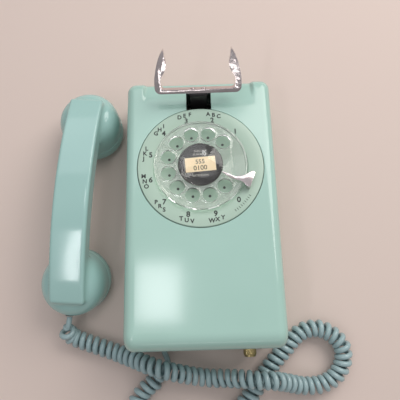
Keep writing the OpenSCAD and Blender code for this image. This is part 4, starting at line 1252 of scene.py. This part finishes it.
@dataclass
class Dial:
    """Number plate with its figures, clear finger wheel, centre card and finger stop."""

    centre: Place = (0.0, 32.8, 64.0)
    slope: float = 6.5
    ring_inner_r: float = 39.4
    ring_outer_r: float = 51.6
    ring_inner_z: float = 0.3
    ring_outer_z: float = 0.9
    well_z: float = -1.9
    card_z: float = 3.6
    hole_first: float = 45.0
    hole_step: float = 30.0
    hole_count: int = 10
    figure_r: float = 42.6
    figure_h: float = 4.3
    figure_weight: float = 0.21
    letter_r: float = 47.6
    letter_h: float = 3.4
    letter_step: float = 4.6
    letter_weight: float = 0.18
    letters: tuple = ("", "ABC", "DEF", "GHI", "JKL", "MNO", "PRS", "TUV", "WXY", "")
    dot_r: float = 1.15
    dot_t: float = 0.08
    dot_circle_r: float = 26.8
    dot_sides: int = 24
    tick_count: int = 9
    tick_step: float = 2.6
    tick_h: float = 2.0
    tick_weight: float = 0.08
    ink_t: float = 0.04
    capital_share: float = 0.69
    label_size: Place = (25.0, 12.6, 0.1)
    label_turn: float = 4.0
    label_lines: tuple = (("555", 3.6, (-0.3, 2.4)), ("0100", 3.9, (-0.2, -3.0)))
    label_weight: float = 0.04
    label_lift: float = 0.06
    card_lines: tuple = (("THIS LINE", 11.6), ("IS NUMBER", 8.8), ("EXTENSION", -9.6))
    card_letter_h: float = 1.7
    card_turn: float = 2.0
    card_weight: float = 0.02
    card_lift: float = 0.02
    plate_edge: float = 0.25
    wheel_edge: float = 0.35
    cover_edge: float = 0.2
    stop_edge: float = 0.35

    def place(self) -> Matrix:
        """Give the matrix from the dial's own millimetres to the frame's metres."""
        turn = Matrix.Rotation(math.radians(-self.slope), 4, "X")
        return Matrix.Translation(Vector(self.centre) * MM) @ turn @ Matrix.Scale(MM, 4)

    def ring_height(self, radius: np.ndarray) -> np.ndarray:
        """Give the height of the printed ring at a radius."""
        share = (radius - self.ring_inner_r) / (self.ring_outer_r - self.ring_inner_r)
        return self.ring_inner_z + (self.ring_outer_z - self.ring_inner_z) * np.clip(share, 0, 1)

    def hole_angle(self, k: int) -> float:
        """Give the angle of a finger hole in degrees."""
        return self.hole_first + self.hole_step * k

    @staticmethod
    def around(radius: float, degrees: float) -> tuple[float, float]:
        """Give the place at a radius and an angle around the dial."""
        a = math.radians(degrees)
        return radius * math.cos(a), radius * math.sin(a)

    def lettering(
        self, text: str, height: float, at: tuple[float, float], turn: float, weight: float
    ) -> bpy.types.Object:
        """Model one flat word or figure as a thin mesh.

        Args:
            text: The characters.
            height: Height of a capital.
            at: Middle across and up, in the dial's millimetres.
            turn: Turn in degrees.
            weight: Extra thickness of the strokes.

        Returns:
            The lettering in the dial's millimetres.
        """
        bpy.ops.object.select_all(action="DESELECT")
        bpy.ops.object.text_add()
        words = bpy.context.active_object
        words.data.body = text
        words.data.size = height / self.capital_share
        words.data.align_x = "CENTER"
        words.data.extrude = self.ink_t
        words.data.offset = weight
        words.data.resolution_u = 4
        bpy.ops.object.convert(target="MESH")
        words = bpy.context.active_object
        down = Matrix.Translation((0, -height / 2, 0))
        turned = Matrix.Rotation(math.radians(turn), 4, "Z")
        settle_place(words, Matrix.Translation((*at, 0)) @ turned @ down)
        return words

    def lay(self, piece: bpy.types.Object, height: Distance | float) -> None:
        """Lay a flat piece on a surface of the dial and move it into the frame.

        Args:
            piece: Piece in the dial's millimetres.
            height: Height of the surface, or the height at a radius.
        """
        flat = np.zeros(len(piece.data.vertices) * 3)
        piece.data.vertices.foreach_get("co", flat)
        points = flat.reshape(-1, 3)
        radius = np.hypot(points[:, 0], points[:, 1])
        points[:, 2] += height(radius) if callable(height) else height
        piece.data.vertices.foreach_set("co", points.reshape(-1))
        settle_place(piece, self.place())

    def print_on(
        self,
        name: str,
        parts: Sequence[bpy.types.Object],
        height: Distance | float,
        body: Body,
        ink: bpy.types.Material,
    ) -> None:
        """Join printed parts, lay them on the dial and hand them over.

        Args:
            name: Name of the print.
            parts: Its parts, in the dial's millimetres.
            height: Height of the surface, or the height at a radius.
            body: Body that it moves with.
            ink: Its material.
        """
        piece = join(name, parts)
        self.lay(piece, height)
        hand_over(piece, body, ink)

    def build(self, shop: Workshop) -> None:
        """Make every piece of the dial.

        Args:
            shop: The workshop.
        """
        ink = shop.paints["printed_black"]
        plate, finish = "number_plate", "aqua_number_plate"
        shop.reface(plate, f"{plate}_moulding", Body.BASE, Slot.AQUA, finish, self.plate_edge)
        self._figures(ink)
        self._letters(ink)
        self._dots(ink)
        for row in (
            ("finger_wheel", "finger_wheel_clear", Body.DIAL, Slot.CLEAR, "clear_acrylic", self.wheel_edge, 3),
            ("card_cover", "card_cover_clear", Body.DIAL, Slot.CLEAR, "clear_cover", self.cover_edge),
            ("finger_stop", "finger_stop_blade", Body.BASE, Slot.CHROME, "bright_chrome", self.stop_edge, 3),
        ):
            shop.reface(*row)
        self._card(shop)

    def _figures(self, ink: bpy.types.Material) -> None:
        """Print the ten figures around the wheel.

        Args:
            ink: Material of the print.
        """
        parts = []
        for k in range(self.hole_count):
            at = self.around(self.figure_r, self.hole_angle(k))
            parts.append(self.lettering(str((k + 1) % 10), self.figure_h, at, 0, self.figure_weight))
        self.print_on("dial_figures", parts, self.ring_height, Body.BASE, ink)

    def _letters(self, ink: bpy.types.Material) -> None:
        """Print the letters outside the figures and a row of ticks outside the nought.

        Args:
            ink: Material of the print.
        """
        parts = []
        step = math.degrees(self.letter_step / self.letter_r)
        for k, group in enumerate(self.letters):
            middle = self.hole_angle(k)
            way = -1 if math.sin(math.radians(middle)) > 0.1 else 1
            for i, letter in enumerate(group):
                at = self.around(self.letter_r, middle + way * (i - 1) * step)
                parts.append(self.lettering(letter, self.letter_h, at, 0, self.letter_weight))
        for i in range(self.tick_count):
            a = self.hole_angle(self.hole_count - 1) + (i - (self.tick_count - 1) / 2) * self.tick_step
            at = self.around(self.letter_r, a)
            parts.append(self.lettering("I", self.tick_h, at, a + 90, self.tick_weight))
        self.print_on("dial_letters", parts, self.ring_height, Body.BASE, ink)

    def _dots(self, ink: bpy.types.Material) -> None:
        """Print a round dot on the plate under each finger hole.

        Args:
            ink: Material of the print.
        """
        parts = []
        for k in range(self.hole_count):
            bpy.ops.object.select_all(action="DESELECT")
            bpy.ops.mesh.primitive_cylinder_add(vertices=self.dot_sides, radius=self.dot_r, depth=self.dot_t)
            dot = bpy.context.active_object
            settle_place(dot, Matrix.Translation((*self.around(self.dot_circle_r, self.hole_angle(k)), 0)))
            parts.append(dot)
        self.print_on("target_dots", parts, self.well_z, Body.BASE, ink)

    def _card(self, shop: Workshop) -> None:
        """Make the centre card with its paper label and its printed words.

        Args:
            shop: The workshop.
        """
        shop.dress("black_card", "number_card")
        bpy.ops.object.select_all(action="DESELECT")
        bpy.ops.mesh.primitive_cube_add(size=1.0)
        label = bpy.context.active_object
        label.name = "number_label"
        turned = Matrix.Rotation(math.radians(self.label_turn), 4, "Z")
        settle_place(label, turned @ Matrix.Diagonal((*self.label_size, 1.0)))
        self.lay(label, self.card_z)
        hand_over(label, Body.DIAL, shop.paints["cream_paper"])
        digits = [
            self.lettering(text, height, at, self.label_turn, self.label_weight)
            for text, height, at in self.label_lines
        ]
        ink = shop.paints["printed_black"]
        self.print_on("label_digits", digits, self.card_z + self.label_lift, Body.DIAL, ink)
        words = [
            self.lettering(text, self.card_letter_h, (0, y), self.card_turn, self.card_weight)
            for text, y in self.card_lines
        ]
        ink = shop.paints["printed_white"]
        self.print_on("card_words", words, self.card_z + self.card_lift, Body.DIAL, ink)


# Handset


@dataclass
class Handset:
    """The handset: an arched handle that runs over two round cups."""

    place_mm: Place = (-107.1, 13.2, 0.0)
    turn: float = -4.6
    arch_r: float = 228.0
    back_z: float = 64.0
    back_half: float = 14.75
    inner_half: float = 13.75
    thickness: float = 24.0
    arm_end: float = 93.1
    back_edge: float = 2.2
    end_edge: float = 3.0
    blend: float = 4.0
    cup_top: float = 40.5
    cup_foot: float = 10.6
    cup_overrun: float = 4.0
    cup_edge: float = 0.4
    receiver: Place = (70.6, 27.8, -9.0)
    transmitter: Place = (-68.2, 28.4, 12.0)
    receiver_cast: Place = (71.0, 29.0, -9.0)
    transmitter_cast: Place = (-70.0, 30.0, 12.0)
    cup_power: float = 3.4
    rim_edge: float = 1.6
    cap_lift: float = 0.03
    cap_soft: float = 0.3
    sleeve_edge: float = 0.6
    under_edge: float = 8.0
    foot_edge: float = 0.6
    block_inset: float = 1.0
    block_cuts: int = 40
    barrel_share: float = 0.86
    barrel_drop: float = 8.0
    voxel: float = 0.9
    smooth_angle: float = 50.0
    cut_margin: float = 5.0

    def place(self) -> Matrix:
        """Give the matrix from the handset's own frame to the object's frame."""
        turn = Matrix.Rotation(math.radians(self.turn), 4, "Z")
        return Matrix.Translation(Vector(self.place_mm) * MM) @ turn

    def cup_frame(self, cup: Place) -> tuple[np.ndarray, np.ndarray]:
        """Give the middle of a cup's face and the cup's axes as rows.

        Args:
            cup: Place along the handle, radius and tilt.

        Returns:
            The middle and the axes.
        """
        y, radius, tilt = cup
        a = math.radians(tilt)
        middle = np.array([0, y, (radius - self.rim_edge) * math.sin(abs(a))])
        axes = np.array([[1, 0, 0], [0, math.cos(a), math.sin(a)], [0, -math.sin(a), math.cos(a)]])
        return middle, axes

    def cup_seat(self, cup: Place) -> Matrix:
        """Give the matrix from a cup's own frame to the handset's frame."""
        middle, axes = self.cup_frame(cup)
        return Matrix.Translation(Vector(middle) * MM) @ Matrix(axes.tolist()).transposed().to_4x4()

    def cup_distance(self, p: np.ndarray, cup: Place) -> np.ndarray:
        """Give the distance of places from one domed cup.

        Args:
            p: Places in the handset's millimetres.
            cup: Place along the handle, radius and tilt.

        Returns:
            The distance, negative inside.
        """
        middle, axes = self.cup_frame(cup)
        q = (p - middle) @ axes.T
        q[:, 2] -= self.cup_foot
        radius, rise = cup[1] - self.cup_edge, self.cup_top - self.cup_foot
        power, least = self.cup_power, 1e-6
        out = np.hypot(q[:, 0], q[:, 1]) / radius
        up = np.abs(q[:, 2]) / rise
        near = np.maximum((out**power + up**power) ** (1 / power), least)
        steep = np.hypot((out / near) ** (power - 1) / radius, (up / near) ** (power - 1) / rise)
        dome = (near - 1) / np.maximum(steep, least)
        return soft_max(dome, -q[:, 2] - self.cup_overrun, self.foot_edge)

    def handle_distance(self, p: np.ndarray) -> np.ndarray:
        """Give the distance of places from the arched handle.

        Args:
            p: Places in the handset's millimetres.

        Returns:
            The distance, negative inside.
        """
        depth = p[:, 2] + self.arch_r - self.back_z
        high = np.hypot(p[:, 1], depth) - self.arch_r
        along = self.arch_r * np.arctan2(p[:, 1], depth)
        lean = (self.back_half - self.inner_half) / self.thickness
        flank = (np.abs(p[:, 0]) - self.back_half - lean * high) / math.hypot(1, lean)
        section = rounded([high, flank], self.back_edge)
        section = soft_max(section, -high - self.thickness, self.under_edge)
        return rounded([section, np.abs(along) - self.arm_end], self.end_edge)

    def distance(self, p: np.ndarray) -> np.ndarray:
        """Give the distance of places from the whole moulding.

        Args:
            p: Places in the handset's millimetres.

        Returns:
            The distance, negative inside.
        """
        handle = self.handle_distance(p)
        form = soft_min(handle, self.cup_distance(p, self.receiver), self.blend)
        return soft_min(form, self.cup_distance(p, self.transmitter), self.blend)

    def build(self, shop: Workshop) -> None:
        """Make the moulding, the caps and the grommet.

        Args:
            shop: The workshop.
        """
        aqua = shop.paints["aqua_handset"]
        piece = self._moulding()
        hand_over(piece, Body.HANDSET, aqua, ["handset_shell"])
        caps = (
            ("receiver_cap", self.receiver_cast, self.receiver),
            ("transmitter_cap", self.transmitter_cast, self.transmitter),
        )
        for node, cast, cup in caps:
            cap = shop.softened(node, f"{node}_moulding", self.cap_soft)
            draw_in = Matrix.Diagonal((cup[1] / cast[1], cup[1] / cast[1], 1.0, 1.0))
            draw_in = Matrix.Translation((0, 0, self.cap_lift * MM)) @ draw_in
            seat, cast_seat = self.place() @ self.cup_seat(cup), self.place() @ self.cup_seat(cast)
            cap.data.transform(seat @ draw_in @ cast_seat.inverted())
            hand_over(cap, Body.HANDSET, aqua, [node])
        node, finish = "handset_grommet", "black_rubber"
        shop.reface(node, "handset_sleeve", Body.HANDSET, Slot.RUBBER, finish, self.sleeve_edge, 3)
        shop.dress("zinc_steel", "receiver_unit", "transmitter_unit")

    def _moulding(self) -> bpy.types.Object:
        """Model the handle and cups from a bar and two barrels, merged and smoothed.

        Returns:
            The moulding.
        """
        inset = self.block_inset
        low = Vector((-self.inner_half + inset, -self.arm_end + inset, -self.thickness + inset))
        high = Vector((self.inner_half - inset, self.arm_end - inset, -inset))
        handle = box("handle_block", low, high)
        edit(handle)
        bpy.ops.mesh.subdivide(number_cuts=self.block_cuts)
        leave_edit()
        flat = points_of(handle)
        angle, reach = flat[:, 1] / self.arch_r, self.arch_r + flat[:, 2]
        rise = self.back_z - self.arch_r + reach * np.cos(angle)
        arched = [flat[:, 0], reach * np.sin(angle), rise]
        move_points(handle, np.stack(arched, axis=1))
        parts = [handle]
        for cup in (self.receiver, self.transmitter):
            middle, axes = self.cup_frame(cup)
            start = Vector(middle + axes[2] * (self.cup_foot - self.cup_overrun))
            end = Vector(middle + axes[2] * (self.cup_top - self.barrel_drop))
            parts.append(bar("cup_barrel", cup[1] * self.barrel_share, start, end))
        piece = join("handset_moulding", parts)
        apply_modifier(piece, "REMESH", mode="VOXEL", voxel_size=self.voxel * MM)
        points = points_of(piece)
        for _ in range(3):
            points = settle_on(points, self.distance, 6)
            move_points(piece, points)
            edit(piece)
            bpy.ops.mesh.vertices_smooth(factor=0.5, repeat=3)
            leave_edit()
            points = points_of(piece)
        move_points(piece, settle_on(points, self.distance, 10))
        for cup in (self.receiver, self.transmitter):
            self._cut_foot(piece, cup)
        settle_place(piece, self.place())
        smooth(piece, self.smooth_angle)
        return piece

    def _cut_foot(self, piece: bpy.types.Object, cup: Place) -> None:
        """Cut one cup off flat where its cap begins.

        Args:
            piece: The moulding.
            cup: Place along the handle, radius and tilt.
        """
        reach = cup[1] + self.cut_margin
        low, high = Vector((-reach, -reach, -reach)), Vector((reach, reach, self.cup_foot))
        cutter = box("foot_cutter", low, high)
        settle_place(cutter, self.cup_seat(cup))
        cut_away(piece, cutter)


# Hook, ringer, movement and base


@dataclass
class Hook:
    """The leaf-armed cradle on its lever and the switch inside."""

    cradle_edge: float = 1.3
    lever_edge: float = 0.5
    rivet_edge: float = 0.35

    def build(self, shop: Workshop) -> None:
        """Make the visible cradle and lever and dress the rest.

        Args:
            shop: The workshop.
        """
        for node, name, slot, finish, edge, segments in (
            ("hook_cradle", "hook_cradle_plate", Slot.CHROME, "bright_chrome", self.cradle_edge, 4),
            ("hook_lever", "hook_lever_arm", Slot.ENAMEL, "black_enamel", self.lever_edge, 2),
            ("hook_rivets", "hook_rivet_heads", Slot.CHROME, "bright_chrome", self.rivet_edge, 3),
        ):
            shop.reface(node, name, Body.HOOK, slot, finish, edge, segments)
        shop.dress("zinc_steel", "hook_bracket", "hook_pivot_pin", "hook_spring")
        shop.dress("black_phenolic", "switch_stack")


@dataclass
class Inside:
    """The base plate, the dial movement, the network and the ringer."""

    plate_edge: float = 0.4
    knob_edge: float = 0.25
    sleeve_edge: float = 0.5
    screw_edge: float = 0.3
    gong_edge: float = 0.2

    def build(self, shop: Workshop) -> None:
        """Dress the inner pieces and make the knob and the grommet.

        Args:
            shop: The workshop.
        """
        for row in (
            ("base_plate", "base_plate_tray", Body.BASE, Slot.STEEL, "zinc_steel", self.plate_edge),
            ("volume_knob", "volume_knob_barrel", Body.VOLUME, Slot.BRASS, "satin_brass", self.knob_edge),
            ("base_grommet", "base_sleeve", Body.BASE, Slot.RUBBER, "black_rubber", self.sleeve_edge, 3),
            ("housing_screw", "housing_screw_head", Body.BASE, Slot.STEEL, "zinc_steel", self.screw_edge),
            ("gong_left", "gong_left_bell", Body.BASE, Slot.BRASS, "satin_brass", self.gong_edge),
            ("gong_right", "gong_right_bell", Body.BASE, Slot.BRASS, "satin_brass", self.gong_edge),
        ):
            shop.reface(*row)
        shop.dress(
            "zinc_steel", "dial_bracket", "bracket_screws", "dial_frame", "dial_shaft", "return_spring",
            "pulse_pinion", "governor_bracket", "ringer_frame", "ringer_core", "gong_posts", "gong_screws",
            "clapper", "clapper_pin",
        )  # fmt: skip
        brass = ("dial_rear_plate", "main_gear", "governor_rotor", "network_terminals", "volume_shaft")
        shop.dress("satin_brass", *brass)
        shop.dress("enamelled_copper", "ringer_bobbin")
        shop.dress("black_phenolic", "pulse_cam", "worm_wheel", "pulse_contacts", "network_block")


def main() -> None:
    """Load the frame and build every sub-assembly in order."""
    logging.basicConfig(level=logging.INFO, format="%(message)s")
    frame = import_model()
    bpy.ops.object.select_all(action="DESELECT")
    Studio().build()
    shop = Workshop(frame, Paints())
    for assembly in (CurlyCord(), Housing(), Dial(), Handset(), Hook(), Inside()):
        assembly.build(shop)
        LOG.info("%s is built", type(assembly).__name__)
    bpy.context.view_layer.update()


if __name__ == "__main__":
    main()
